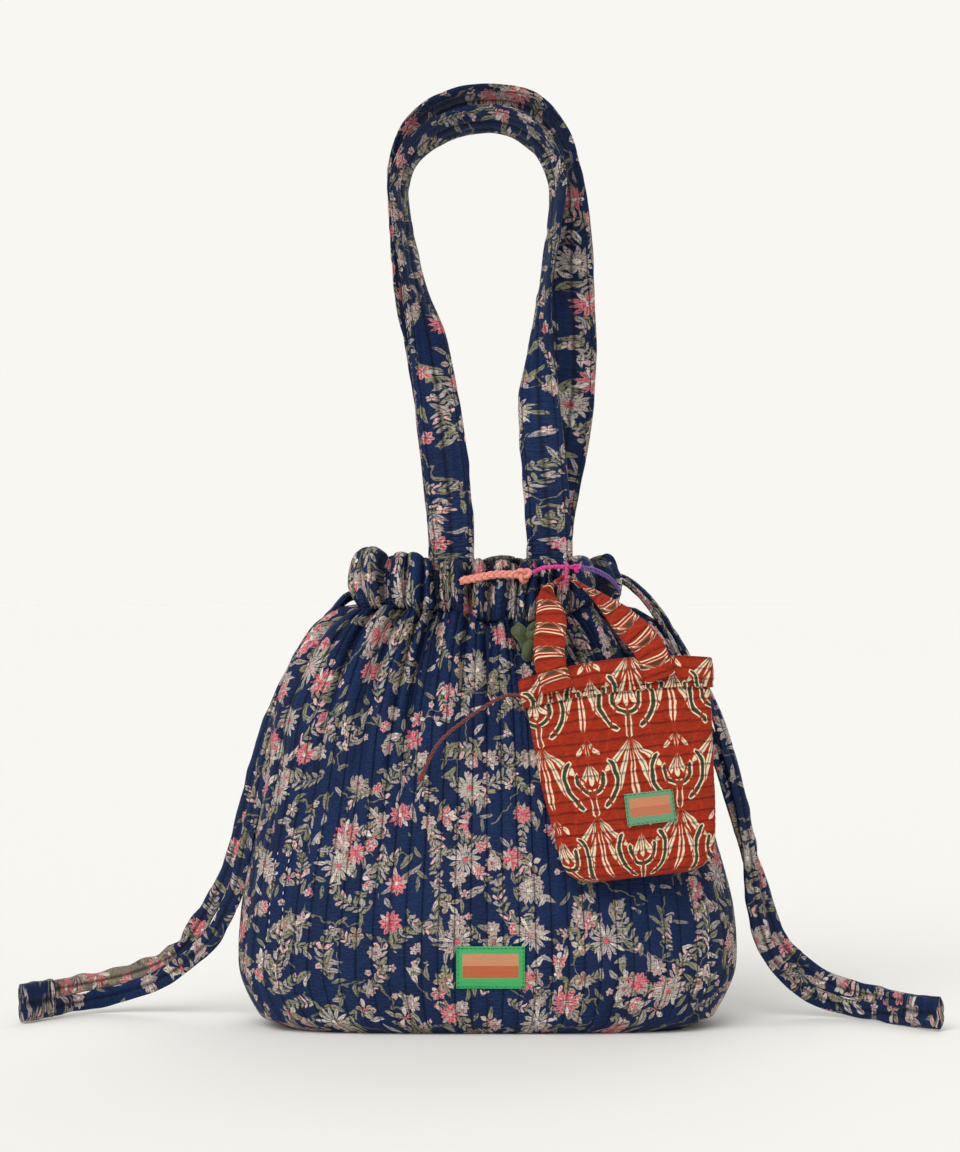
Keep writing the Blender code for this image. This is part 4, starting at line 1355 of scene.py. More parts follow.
@dataclass
class QuiltedBody:
    """The bag's body: a quilted shell gathered at its seam, with its lining inside.

    Attributes:
        half_width: Half the body's greatest width.
        half_depth: Half its greatest depth.
        base_half_width: Half the base's width.
        base_half_depth: Half the base's depth.
        seam_height: How high the gathered seam is.
        seam_half_width: Half the width at the seam.
        seam_half_depth: Half the depth there.
        neck_half_width, neck_half_depth, neck_wall, neck_squareness: The gathered neck's size and shape.
        mouth_z, ledge_z: How high the mouth and the ledge below the casing are.
        wall: How thick the quilted wall is.
        channels: How many quilted rows go round it.
        across_channel: How many points lie across one row.
        rows: How many rings make up the outer wall.
        bulge: How far the wadding lifts a row.
        gather: How deep the folds are at the seam.
        label_place: A place on the front, across and up, that its folds leave smooth.
        label_middle, label_foot, label_gap: Where the label's middle is, how high its foot is, and how
            far in front of the plain outline it lies.
    """

    half_width: float = 0.179
    half_depth: float = 0.073
    base_half_width: float = 0.146
    base_half_depth: float = 0.056
    seam_height: float = 0.304
    seam_half_width: float = 0.097
    seam_half_depth: float = 0.050
    neck_half_width: float = 0.0835
    neck_half_depth: float = 0.040
    neck_wall: float = 0.003
    neck_squareness: float = 3.4
    mouth_z: float = 0.336
    ledge_z: float = 0.307
    wall: float = 0.004
    channels: int = 76
    across_channel: int = 8
    rows: int = 132
    bulge: float = 0.0011
    gather: float = 0.0118
    label_place: tuple[float, float] = (0.003, 0.161)
    label_middle: float = 0.0025
    label_foot: float = 0.049
    label_gap: float = 0.0009

    def width_at(self, share: Array) -> Array:
        """Half the body's width at a share of the way up to the seam."""
        full = self.half_width
        near_seam = self.seam_half_width + (full - self.seam_half_width) * 0.22
        return smooth(
            [0, 0.03, 0.16, 0.27, 0.54, 0.72, 0.87, 0.94, 1],
            [self.base_half_width, full * 0.92, full, full * 0.988, full * 0.895, full * 0.838]
            + [full * 0.725, near_seam, self.seam_half_width],
            np.clip(share, 0, 1),
        )

    def depth_at(self, share: Array) -> Array:
        """Half the body's depth at a share of the way up to the seam."""
        full = self.half_depth
        return smooth(
            [0, 0.03, 0.18, 0.36, 0.7, 0.87, 1],
            [self.base_half_depth, full * 0.90, full, full, full * 0.88, full * 0.76, self.seam_half_depth],
            np.clip(share, 0, 1),
        )

    def ring(self, share: float, places: Array, push: Array | float) -> Array:
        """A ring of the body.

        Args:
            share: How far up to the seam it is.
            places: Its points' places round it.
            push: How far each point is pushed out.

        Returns:
            The ring's points.
        """
        squareness = smooth([0, 0.5, 1], [3.6, 2.9, 3.0], np.array(share))
        x, y = outline(self.width_at(share), self.depth_at(share), squareness, places, push)
        return np.column_stack([x, y, np.full(len(places), self.seam_height * share)])

    def neck(self, places: Array, out: Array | float = 0.0) -> tuple[Array, Array]:
        """The neck's outline, out metres outside its wall."""
        return outline(self.neck_half_width, self.neck_half_depth, self.neck_squareness, places, out)

    def neck_ring(self, z: float, places: Array, out: float) -> Array:
        """A ring of the standing mouth, out metres outside its wall."""
        x, y = self.neck(places, out)
        return np.column_stack([x, y, np.full(len(places), z)])

    def relief(self, share: float, places: Array) -> tuple[Array, Array]:
        """How far the quilting, the gathers and the sag push the cloth out.

        Args:
            share: How far up to the seam.
            places: Places round the body.

        Returns:
            The push at each place, and how deep in a fold it is.
        """
        level = np.full_like(places, share)
        high = np.clip((share - 0.30) / 0.70, 0, 1)
        drift = places + 0.0040 * ripple(places, level, 26, 3, 11) * (1 - high)
        across, _ = puffs(drift, self.channels, 1, 0.0)
        uneven = 1 + 0.35 * ripple(places, level, self.channels, 7, 12)
        push = self.bulge * (1 + 0.5 * high) * uneven * (dome(across, 0.6) - 0.5)
        fold = np.zeros_like(places)
        for count, seed, spread, depth, start in ((41, 13, 0.6, 1.0, 2.0), (19, 14, 0.6, 0.95, 1.05)):
            # Each gather runs down from the seam as far as its own number says
            hump, number = puffs(drift, count, seed, spread)
            reach = np.clip((high - 0.75 * (1 - number)) / (0.25 + 0.75 * number), 0, 1) ** start
            push += self.gather * depth * reach * (0.45 + 0.7 * number) * (dome(hump, 0.7) - 0.6)
            # Painted shade: the creases between the gathers are marked for darkening.
            fold = np.maximum(fold, reach * np.clip(1 - dome(hump, 1.0) / 0.62, 0, 1) ** 1.2)
        seam = np.clip((share - 0.955) / 0.045, 0, 1) ** 1.5
        push -= 0.0025 * seam
        # The shoulders are full, and meet the tails that lie along them
        beside = np.abs((places + 0.5) % 1.0 - 0.5) - RIGHT
        shoulder = [0.66, 0.80, 0.90, 0.96, 1.0], [0, 0.0055, 0.0090, 0.0105, 0.0060]
        full = smooth(*shoulder, np.array(max(share, 0.66)))
        push += full * np.exp(-((beside / 0.07) ** 2))
        slack = np.clip(share / 0.12, 0, 1) * (1 - high**3)
        push += 0.0028 * slack * ripple(places, level, 11, 4, 15)
        across, up = (places + 0.5) % 1.0 - 0.5 - self.label_place[0], share - self.label_place[1]
        under_label = np.clip(1.6 - np.abs(across) / 0.030, 0, 1) * np.clip(1.6 - abs(up) / 0.055, 0, 1)
        # The seam band is marked for painted shade too, at 0.4.
        return push * (1 - under_label) - 0.0004 * under_label, np.maximum(fold, seam * 0.4)

    def dip(self, places: Array) -> Array:
        """How far the gathered seam drops below its height at each place."""
        turned = (np.asarray(places) + 0.5) % 1.0 - 0.5
        front = 0.0075 * np.exp(-(((turned - 0.015) / 0.085) ** 2))
        return front + 0.0090 * (ripple(places, np.zeros_like(turned), 26, 1, 16) * 0.5 + 0.35)

    def label_spot(self, label: "StitchedLabel") -> Surface:
        """Finds where the label lies on the front.

        Args:
            label: The label.

        Returns:
            The function that places shares across and up the label.
        """
        front = self.ring(0.16, np.linspace(-0.2, 0.2, 161), 0.0)

        def on_front(across: Array, up: Array, out: Array) -> Array:
            """Places on the front label."""
            x = self.label_middle + across * label.width
            z = self.label_foot + up * label.height
            bow = np.interp(x, front[:, 0], front[:, 1]) - front[80, 1]
            y = bow - self.depth_at(z / self.seam_height) - self.label_gap - out
            return np.column_stack([x, y, z])

        return on_front

    def stitch_rows(self) -> list[Array]:
        """The rows of white running stitches down the body's left edge."""
        rows = []
        for place, low, high in ((-0.171, 0.12, 0.46), (-0.184, 0.20, 0.42), (0.181, 0.10, 0.30)):
            shares = np.linspace(low, high, 90)
            line = []
            for share in shares:
                at = np.array([place + 0.0012 * math.sin(share * 31.0)])
                push, _ = self.relief(float(share), at)
                line.append(self.ring(float(share), at, push + 0.0003)[0])
            rows.append(np.array(line))
        return rows

    def build(self, satin: Material, lining: Material) -> None:
        """Builds and dresses the body.

        Args:
            satin: The outside's material.
            lining: The inside's.
        """
        count = self.channels * self.across_channel
        places = BACK + np.arange(count) / count
        shares = smooth([0, 0.06, 0.75, 1], [0, 0.02, 0.76, 1], np.linspace(0, 1, self.rows))
        rings, fold_shades = [], []
        for shrink in (0.03, 0.4, 0.8):
            base = self.ring(0.0, places, 0.0)
            base[:, :2] *= shrink
            rings.append(base)
            fold_shades.append(np.zeros(count))
        dip = self.dip(places)
        for share in shares:
            push, fold = self.relief(share, places)
            ring = self.ring(share, places, push * min(1, share / 0.02))
            fold_shades.append(fold)
            ring[:, 2] -= dip * np.clip((share - 0.8) / 0.2, 0, 1)
            rings.append(ring)
        rings.append(self.neck_ring(self.ledge_z, places, 0.001))
        rings.append(self.neck_ring(self.mouth_z - 0.003, places, 0.0))
        rings.append(self.neck_ring(self.mouth_z - 0.003, places, -self.neck_wall))
        outside = len(rings) - 2
        rings.append(self.neck_ring(self.ledge_z - self.wall, places, -self.neck_wall))
        for share in (0.95, 0.88, 0.77, 0.62, 0.4, 0.16, 0.06):
            rings.append(self.ring(share, places, -self.wall))
        floor = self.ring(self.wall / self.seam_height, places, -self.wall * 2)
        rings.append(floor)
        middle = floor.copy()
        middle[:, :2] *= 0.03
        rings.append(middle)
        points = np.stack(rings)
        fold_shades += [np.zeros(count)] * (len(rings) - len(fold_shades))
        column = points[:, 0]
        v = reach_along(column)
        u = (np.arange(count + 1) / count - 0.5) * self.channels * BODY_PITCH
        slots = np.where(np.arange(len(rings) - 1) < outside, 0, 1)
        mesh = ClothMesh()
        mesh.add_grid(points, u, v, slots, fold=np.stack(fold_shades))
        piece = dress(mesh.build("quilted_body", satin, lining), Body.BAG, Slot.NAVY_QUILT, "body_shell")


@dataclass
class GatheredCasing:
    """The ruffled casing round the mouth, in a front and a back half.

    Attributes:
        body: The body that it stands on.
        height: How high it stands above the seam.
        end_gap: Half the opening at each side where a drawstring leaves.
        inner: How far outside the neck its tunnel ends.
        cloth: How thick its cloth is.
        puff: How far its gathers puff out.
        left_puff_rise: How much higher the big puff at the left stands.
    """

    body: QuiltedBody
    height: float = 0.032
    end_gap: float = 0.0155
    inner: float = 0.0051
    cloth: float = 0.0030
    puff: float = 0.0040
    left_puff_rise: float = 0.0085

    def perimeter(self) -> float:
        """The way round the neck."""
        x, y = self.body.neck(np.linspace(0, 0.9999, 400))
        return float(np.hypot(np.diff(x, append=x[0]), np.diff(y, append=y[0])).sum())

    def section(self, count: int) -> Array:
        """The casing's section as (out, z) rows: up inside, over the lip and down the puffed outside."""
        low, top = self.body.ledge_z + 0.0003, self.body.mouth_z
        outer = self.inner + self.cloth
        height = top - low
        corners = [
            (self.inner, low), (self.inner + 0.0004, top - self.cloth * 1.9),
            (0.0006, top - self.cloth * 1.1), (0.0004, top + 0.0004),
            (self.inner * 0.85, top + self.cloth * 0.9), (outer + self.puff * 0.30, top - height * 0.04),
            (outer + self.puff * 1.15, top - height * 0.30), (outer + self.puff * 1.50, top - height * 0.62),
            (outer + self.puff * 1.30, low + height * 0.14), (outer + self.puff * 0.65, low - 0.0040)
        ]
        rows = along([(a, 0.0, b) for a, b in corners], count)
        return rows[:, [0, 2]]

    def half(self, name: str, node: str, start: float, end: float, satin: Material) -> None:
        """Builds and dresses one half.

        Args:
            name: The piece's name.
            node: The node that it stands for.
            start: Where round the mouth it starts.
            end: Where it ends.
            satin: Its material.
        """
        gap = self.end_gap / self.perimeter()
        columns = 460
        places = np.linspace(start + gap, end - gap, columns)
        section = self.section(44)
        share = np.linspace(0, 1, len(section))
        start_of_outside = 0.42
        outside = np.clip((share - start_of_outside) / 0.12, 0, 1)
        top = np.exp(-(((share - 0.55) / 0.16) ** 2))
        low_edge = np.clip((share - 0.86) / 0.14, 0, 1)
        front = float(start < 0)
        left = front * np.exp(-(((places + 0.190) / 0.045) ** 2))
        right = front * np.exp(-(((places - 0.232) / 0.040) ** 2))
        middle = front * np.exp(-(((places - 0.01) / 0.10) ** 4))
        ends = np.clip(np.minimum(places - places[0], places[-1] - places) / 0.012, 0, 1)
        dip = self.body.dip(places)
        rows, fold_shades = [], []
        for number, (out, z) in enumerate(section):
            level = np.full(columns, share[number])
            drift = 0.007 * ripple(places, level, 26, 3, 23)
            fine, fine_size = puffs(places + drift, 41, 21, 0.7)
            broad, broad_size = puffs(places + drift * 0.6, 18, 22, 0.7)
            across = np.clip((share[number] - start_of_outside) / (1 - start_of_outside), 0, 1)
            belly = math.sin(math.pi * across) ** 0.7
            push = 0.0070 * (0.3 + fine_size) * (dome(fine, 0.7) - 0.72) * (0.55 + 0.45 * belly)
            push += 0.0140 * (0.2 + broad_size) * (dome(broad, 0.8) - 0.70) * (0.25 + 0.75 * belly)
            push += 0.0060 * left * belly + 0.0014 * ripple(places, level, 60, 5, 24)
            lift = 0.0105 * (dome(broad, 0.9) - 0.62) * (0.3 + broad_size)
            lift += self.left_puff_rise * left - 0.0060 * right - 0.0040 * middle
            lift += 0.0028 * fine_size * (dome(fine, 0.8) - 0.6)
            draw = (1 - dome(ends / 2, 0.6)) * 0.004
            x, y = self.body.neck(places, out + (push - draw) * outside[number])
            height = z + lift * top[number] - dip * low_edge[number]
            rows.append(np.column_stack([x, y, height]))
            # Painted shade: the casing's creases, its inside and its low edge are marked for darkening.
            crease = np.maximum(
                np.clip(1 - dome(fine, 1.0) / 0.62, 0, 1) ** 1.2 * (0.35 + 0.65 * fine_size),
                np.clip(1 - dome(broad, 1.0) / 0.60, 0, 1),
            )
            least = max(0.5 * low_edge[number] ** 2, 1.0 - outside[number])
            fold_shades.append(np.maximum(crease * outside[number], least))
        points = np.stack(rows, axis=1)
        reach = reach_along(section)
        u = np.append(reach, reach[-1] + 0.004)
        v = places * self.body.channels * BODY_PITCH
        mesh = ClothMesh()
        mesh.add_grid(points, u, v, fold=np.stack(fold_shades, axis=1))
        # The cloth's rows of stitches run up the casing, so its map is turned a quarter
        mesh.uvs = [uv[:, ::-1] for uv in mesh.uvs]
        dress(mesh.build(name, satin), Body.BAG, Slot.NAVY_QUILT, node)

    def build(self, satin: Material) -> None:
        """Builds both halves in the satin."""
        self.half("ruffle_front", "casing_front", LEFT - 1, RIGHT, satin)
        self.half("ruffle_back", "casing_back", RIGHT, LEFT, satin)


@dataclass
class DrawstringRun:
    """A drawstring's flat run inside the casing, seen where its tail leaves at the side.

    Attributes:
        casing: The casing that it runs in.
        exit_place: Where its tail leaves.
        low: The height of its lower edge.
        high: The height of its upper edge.
    """

    casing: GatheredCasing
    exit_place: float
    low: float
    high: float

    def build(self, name: str, node: str, satin: Material) -> None:
        """Builds and dresses the run.

        Args:
            name: The piece's name.
            node: The node that it stands for.
            satin: Its material.
        """
        gap = self.casing.end_gap / self.casing.perimeter()
        places = np.linspace(self.exit_place + gap, self.exit_place + 1 - gap, 360)
        angle = np.linspace(0, 2 * math.pi, 20, endpoint=False)
        across, up = squared(angle, 0.7, 0.5)
        out = 0.0026 + 0.0021 * across
        z = (self.low + self.high) / 2 + (self.high - self.low) / 2 * up
        body = self.casing.body
        rows = []
        for place in places:
            wave = 0.0004 * ripple(np.full(20, place), angle / 7, 60, 2, 31)
            x, y = body.neck(np.full(20, place), out + wave)
            rows.append(np.column_stack([x, y, z]))
        u = np.linspace(0, 4 * STRAP_PITCH, 21)
        v = places * self.casing.perimeter()
        sew(np.stack(rows), u, v, name, satin, Body.BAG, Slot.NAVY_STRAP, node)


# Each handle leg from its seam at the left to its seam at the right: the place across the bag, the
# share of the handle's rise, how far it keeps to its own side of the mouth, and its turn in degrees.
FRONT_HANDLE = [
    (-0.0255, 0.015, 1.00, 0), (-0.0277, 0.150, 1.00, 4), (-0.0328, 0.270, 0.90, 10),
    (-0.0380, 0.385, 0.75, 22), (-0.0438, 0.485, 0.58, 38), (-0.0511, 0.565, 0.42, 58),
    (-0.0585, 0.670, 0.36, 66), (-0.0628, 0.755, 0.34, 70), (-0.0636, 0.815, 0.32, 70),
    (-0.0556, 0.875, 0.30, 66), (-0.0307, 0.928, 0.30, 62), (0.0022, 0.948, 0.30, 62),
    (0.0265, 0.928, 0.30, 62), (0.0445, 0.876, 0.30, 65), (0.0514, 0.815, 0.32, 72),
    (0.0506, 0.755, 0.34, 76), (0.0438, 0.620, 0.42, 80), (0.0402, 0.530, 0.62, 74),
    (0.0385, 0.450, 0.80, 58), (0.0375, 0.370, 0.92, 36), (0.0385, 0.290, 1.00, 20),
    (0.0412, 0.200, 1.00, 8), (0.0438, 0.110, 1.00, 0), (0.0455, 0.015, 1.00, 0),
]
BACK_HANDLE = [
    (-0.0265, 0.015, 1.00, 0), (-0.0299, 0.150, 1.00, 4), (-0.0343, 0.270, 0.90, 10),
    (-0.0401, 0.385, 0.75, 22), (-0.0482, 0.485, 0.58, 38), (-0.0577, 0.565, 0.42, 58),
    (-0.0622, 0.670, 0.36, 66), (-0.0648, 0.755, 0.34, 69), (-0.0650, 0.845, 0.32, 68),
    (-0.0545, 0.925, 0.30, 62), (-0.0335, 0.978, 0.30, 62), (0.0000, 1.000, 0.30, 62),
    (0.0340, 0.980, 0.30, 62), (0.0520, 0.915, 0.30, 62), (0.0597, 0.838, 0.32, 60),
    (0.0632, 0.755, 0.36, 52), (0.0630, 0.680, 0.36, 33), (0.0622, 0.610, 0.54, 13),
    (0.0636, 0.530, 0.70, 5), (0.0643, 0.450, 0.84, 2), (0.0630, 0.370, 0.94, 0), (0.0590, 0.270, 1.00, 0),
    (0.0528, 0.170, 1.00, 0), (0.0478, 0.090, 1.00, 0), (0.0458, 0.015, 1.00, 0),
]


@dataclass
class CarryHandles:
    """The two carrying handles, each a padded strap in an upright loop.

    Attributes:
        mouth_z: How high the bag's mouth is.
        rise: How high the back handle rises above it.
        lap: How far a leg is sewn down inside the mouth.
        base_depth: How far from the middle of the mouth the legs are sewn.
        width: A strap's width.
        thickness: Its thickness.
        stations: How many rings make up a handle.
    """

    mouth_z: float = 0.336
    rise: float = 0.340
    lap: float = 0.034
    base_depth: float = 0.0296
    width: float = 0.033
    thickness: float = 0.0062
    stations: int = 420

    def route(self, shape: Sequence[Sequence[float]], side: int) -> list[tuple[float, ...]]:
        """A handle's route from its listed shape: side is -1 for the front strap, 1 for the back."""
        rows = []
        for x, rise, depth_share, turn in shape:
            y = side * self.base_depth * depth_share
            rows.append((x, y, self.mouth_z + self.rise * rise, math.radians(turn)))
        first, last = rows[0], rows[-1]
        low = self.mouth_z - self.lap
        return [(first[0], first[1], low, first[3]), *rows, (last[0], last[1], low, last[3])]

    def build(self, satin: Material) -> None:
        """Builds and dresses both handles in the satin."""
        for name, node, shape, side in (
            ("carry_handle_front", "handle_front", FRONT_HANDLE, -1),
            ("carry_handle_back", "handle_back", BACK_HANDLE, 1),
        ):
            strap = QuiltedStrap(self.width, self.thickness, 4, seed=40 + side)
            rows = along(self.route(shape, side), self.stations)
            cloth = strap.grid(rows), *strap.cloth(rows)
            sew(*cloth, name, satin, Body.BAG, Slot.NAVY_STRAP, node)


# Each tail's route after it leaves the casing: place, turn in degrees, and how far along it has
# grown from its own width to the width of its end loop.
LEFT_TAIL = [
    (-0.1010, 0.000, 0.3105, 90, 0.0), (-0.1115, 0.000, 0.3020, 84, 0.0), (-0.1262, 0.000, 0.2855, 68, 0.0),
    (-0.1405, 0.000, 0.2640, 60, 0.0), (-0.1545, -0.002, 0.2350, 54, 0.0),
    (-0.1655, -0.004, 0.2040, 50, 0.0), (-0.1750, -0.004, 0.1640, 44, 0.1),
    (-0.1815, -0.002, 0.1340, 40, 0.2), (-0.1870, 0.004, 0.1090, 34, 0.3),
    (-0.1935, 0.012, 0.0890, 26, 0.4), (-0.2035, 0.022, 0.0705, 16, 0.5), (-0.2170, 0.032, 0.0520, 8, 0.6),
    (-0.2340, 0.042, 0.0375, 2, 0.7), (-0.2560, 0.050, 0.0265, 0, 0.8), (-0.2785, 0.054, 0.0195, 0, 0.9),
    (-0.2988, 0.047, 0.0160, 0, 1.0), (-0.3178, 0.028, 0.0148, 0, 1.0), (-0.3390, -0.004, 0.0146, 0, 1.0),
]
RIGHT_TAIL = [
    (0.1010, 0.000, 0.3225, 90, 0.0), (0.1125, 0.000, 0.3130, 90, 0.0), (0.1270, 0.000, 0.2945, 90, 0.0),
    (0.1440, 0.000, 0.2640, 98, 0.0), (0.1590, -0.002, 0.2330, 115, 0.0),
    (0.1700, -0.004, 0.2010, 128, 0.0), (0.1795, -0.004, 0.1695, 135, 0.0),
    (0.1875, -0.002, 0.1400, 140, 0.0), (0.1945, 0.004, 0.1080, 146, 0.0),
    (0.2015, 0.012, 0.0790, 154, 0.0), (0.2100, 0.020, 0.0565, 164, 0.0), (0.2240, 0.027, 0.0370, 174, 0.0),
    (0.2430, 0.030, 0.0225, 180, 0.0), (0.2640, 0.024, 0.0150, 180, 0.0), (0.2860, 0.006, 0.0128, 180, 0.0),
    (0.3045, -0.018, 0.0124, 180, 0.0), (0.3240, -0.045, 0.0124, 180, 0.0),
]


@dataclass
class DrawstringTail:
    """A drawstring's free end: two soft strands side by side, caught together in a cloth sleeve.

    Attributes:
        name: The piece's name.
        node: The node that it stands for.
        shape: Its route after it leaves the casing.
        side: -1 at the left, 1 at the right.
        exit_z: How high it leaves the casing.
        spread: Shares of the way along it, with how far each strand's middle is from the route there
            and how far the first strand passes in front of the other.
        seed: Fixes its small bends.
        pale: The strand and the shares of its length between which it shows the pale cloth.
        rests: How much nearer to the bag's side than the plain solid it rests.
        width, tip_width: How wide the two strands are together, at the casing and at the end.
        strand_width, strand_thickness: One strand's size.
        sleeve_length: How long the sleeve at its end is.
        stations: How many rings make up a strand.
    """

    name: str
    node: str
    shape: Sequence[Sequence[float]]
    side: int
    exit_z: float
    spread: Sequence[tuple[float, float, float]]
    seed: int
    pale: Sequence[tuple[int, float, float]]
    rests: float = 0.0
    width: float = 0.024
    tip_width: float = 0.028
    strand_width: float = 0.0135
    strand_thickness: float = 0.0048
    sleeve_length: float = 0.034
    stations: int = 260

    def route(self) -> list[tuple[float, ...]]:
        """The tail's middle line: straight out of the tunnel, then over the listed places."""
        neck, off_neck, gap = 0.0835, 0.0012, 0.0003
        x = self.side * (neck + off_neck + gap)
        start = (x, 0.0, self.exit_z, math.pi / 2, 0.0)
        rows = [(px, py, pz, math.radians(turn), grown) for px, py, pz, turn, grown in self.shape]
        return [start, (x + self.side * 0.006, *start[1:]), *rows]

    def build(self, satin: Material, other: Material) -> None:
        """Builds, dresses and declares the tail.

        Args:
            satin: The first strand's material and the sleeve's.
            other: The second strand's.
        """
        rows = along(self.route(), self.stations)
        share = np.linspace(0, 1, self.stations)
        # The cloth rests against the bag's side, a little nearer than the plain solid
        rows[:, 0] -= self.side * self.rests * np.sin(math.pi * np.clip((share - 0.04) / 0.52, 0, 1)) ** 0.6
        across, out = strap_frames(rows)
        shares, sideways, lift = zip(*self.spread, strict=True)
        apart = smooth(shares, sideways, share)
        raised = smooth(shares, lift, share)
        mesh = ClothMesh()
        for number, way in ((0, 1), (1, -1)):
            size = self.strand_width, self.strand_thickness
            strap = QuiltedStrap(*size, 2, 0.35, 0.0012, self.seed + number)
            strand_rows = rows[:, :4].copy()
            offset = across * (way * apart)[:, None] + out * (way * raised)[:, None]
            strand_rows[:, :3] += offset
            u, v = strap.cloth(strand_rows)
            slots = np.zeros(self.stations - 1, int)
            for strand_number, first, last in self.pale:
                if strand_number == number:
                    slots[(share[1:] > first) & (share[1:] < last)] = 1
            mesh.add_grid(strap.grid(strand_rows), u, v, slots)
        reach = reach_along(rows[:, :3])
        sleeve_rows = rows[reach > reach[-1] - self.sleeve_length]
        sleeve = QuiltedStrap(self.tip_width, 0.0085, 2, 0.2, 0.0006, self.seed + 5)
        u, v = sleeve.cloth(sleeve_rows)
        mesh.add_grid(sleeve.grid(sleeve_rows), u, v, 0)
        piece = mesh.build(self.name, satin, other)
        dress(piece, Body.BAG, Slot.NAVY_STRAP, self.node)
        tuple(rows[0, :3])


@dataclass
class StitchedLabel:
    """A woven label sewn to cloth, slightly cushioned, with its ends turned under.

    Attributes:
        name: The piece's name.
        node: The node that it stands for.
        body: The body that it rides on.
        width: Its width.
        height: Its height.
        thickness: Its thickness.
    """

    name: str
    node: str
    body: Body
    width: float
    height: float
    thickness: float = 0.0012

    def edge_rows(self, place: Surface) -> list[Array]:
        """The lines of stitches along the label's two ends and its lower edge.

        Args:
            place: Gives the points at shares across and up the label, at a distance out.

        Returns:
            The lines.
        """
        run = np.linspace(-0.47, 0.47, 40)
        out = np.full(40, self.thickness * 1.02)
        ends = [place(np.full(40, side), run, out) for side in (-0.475, 0.475)]
        return [*ends, place(run, np.full(40, -0.455), out), place(run, np.full(40, 0.455), out)]

    def build(self, place: Surface, tape: Material) -> None:
        """Builds and dresses the label.

        Args:
            place: Gives the points at shares across and up the label, at a distance out.
            tape: Its material.
        """
        columns, rows = 40, 26
        angle = np.linspace(0, 2 * math.pi, columns * 2, endpoint=False)
        across, face = squared(angle, 0.5, 0.4)
        across = across / 2
        grid, u = [], (across + 0.5) * self.width
        for up in np.linspace(-0.5, 0.5, rows):
            rim = 1 - (2 * abs(up)) ** 14 * 0.7
            wave = 0.00025 * ripple((across + 0.5) * 0.9, np.full(columns * 2, up + 0.5), 4, 3, 51)
            out = self.thickness / 2 * (1 + face * rim) + wave
            grid.append(place(across, np.full(columns * 2, up), out))
        v = (np.linspace(-0.5, 0.5, rows) + 0.5) * self.height
        mesh = ClothMesh()
        mesh.add_grid(np.stack(grid), np.append(u, u[0]), v)
        dress(mesh.build(self.name, tape, crease=60), self.body, Slot.LABEL, self.node)


# The charm pouch


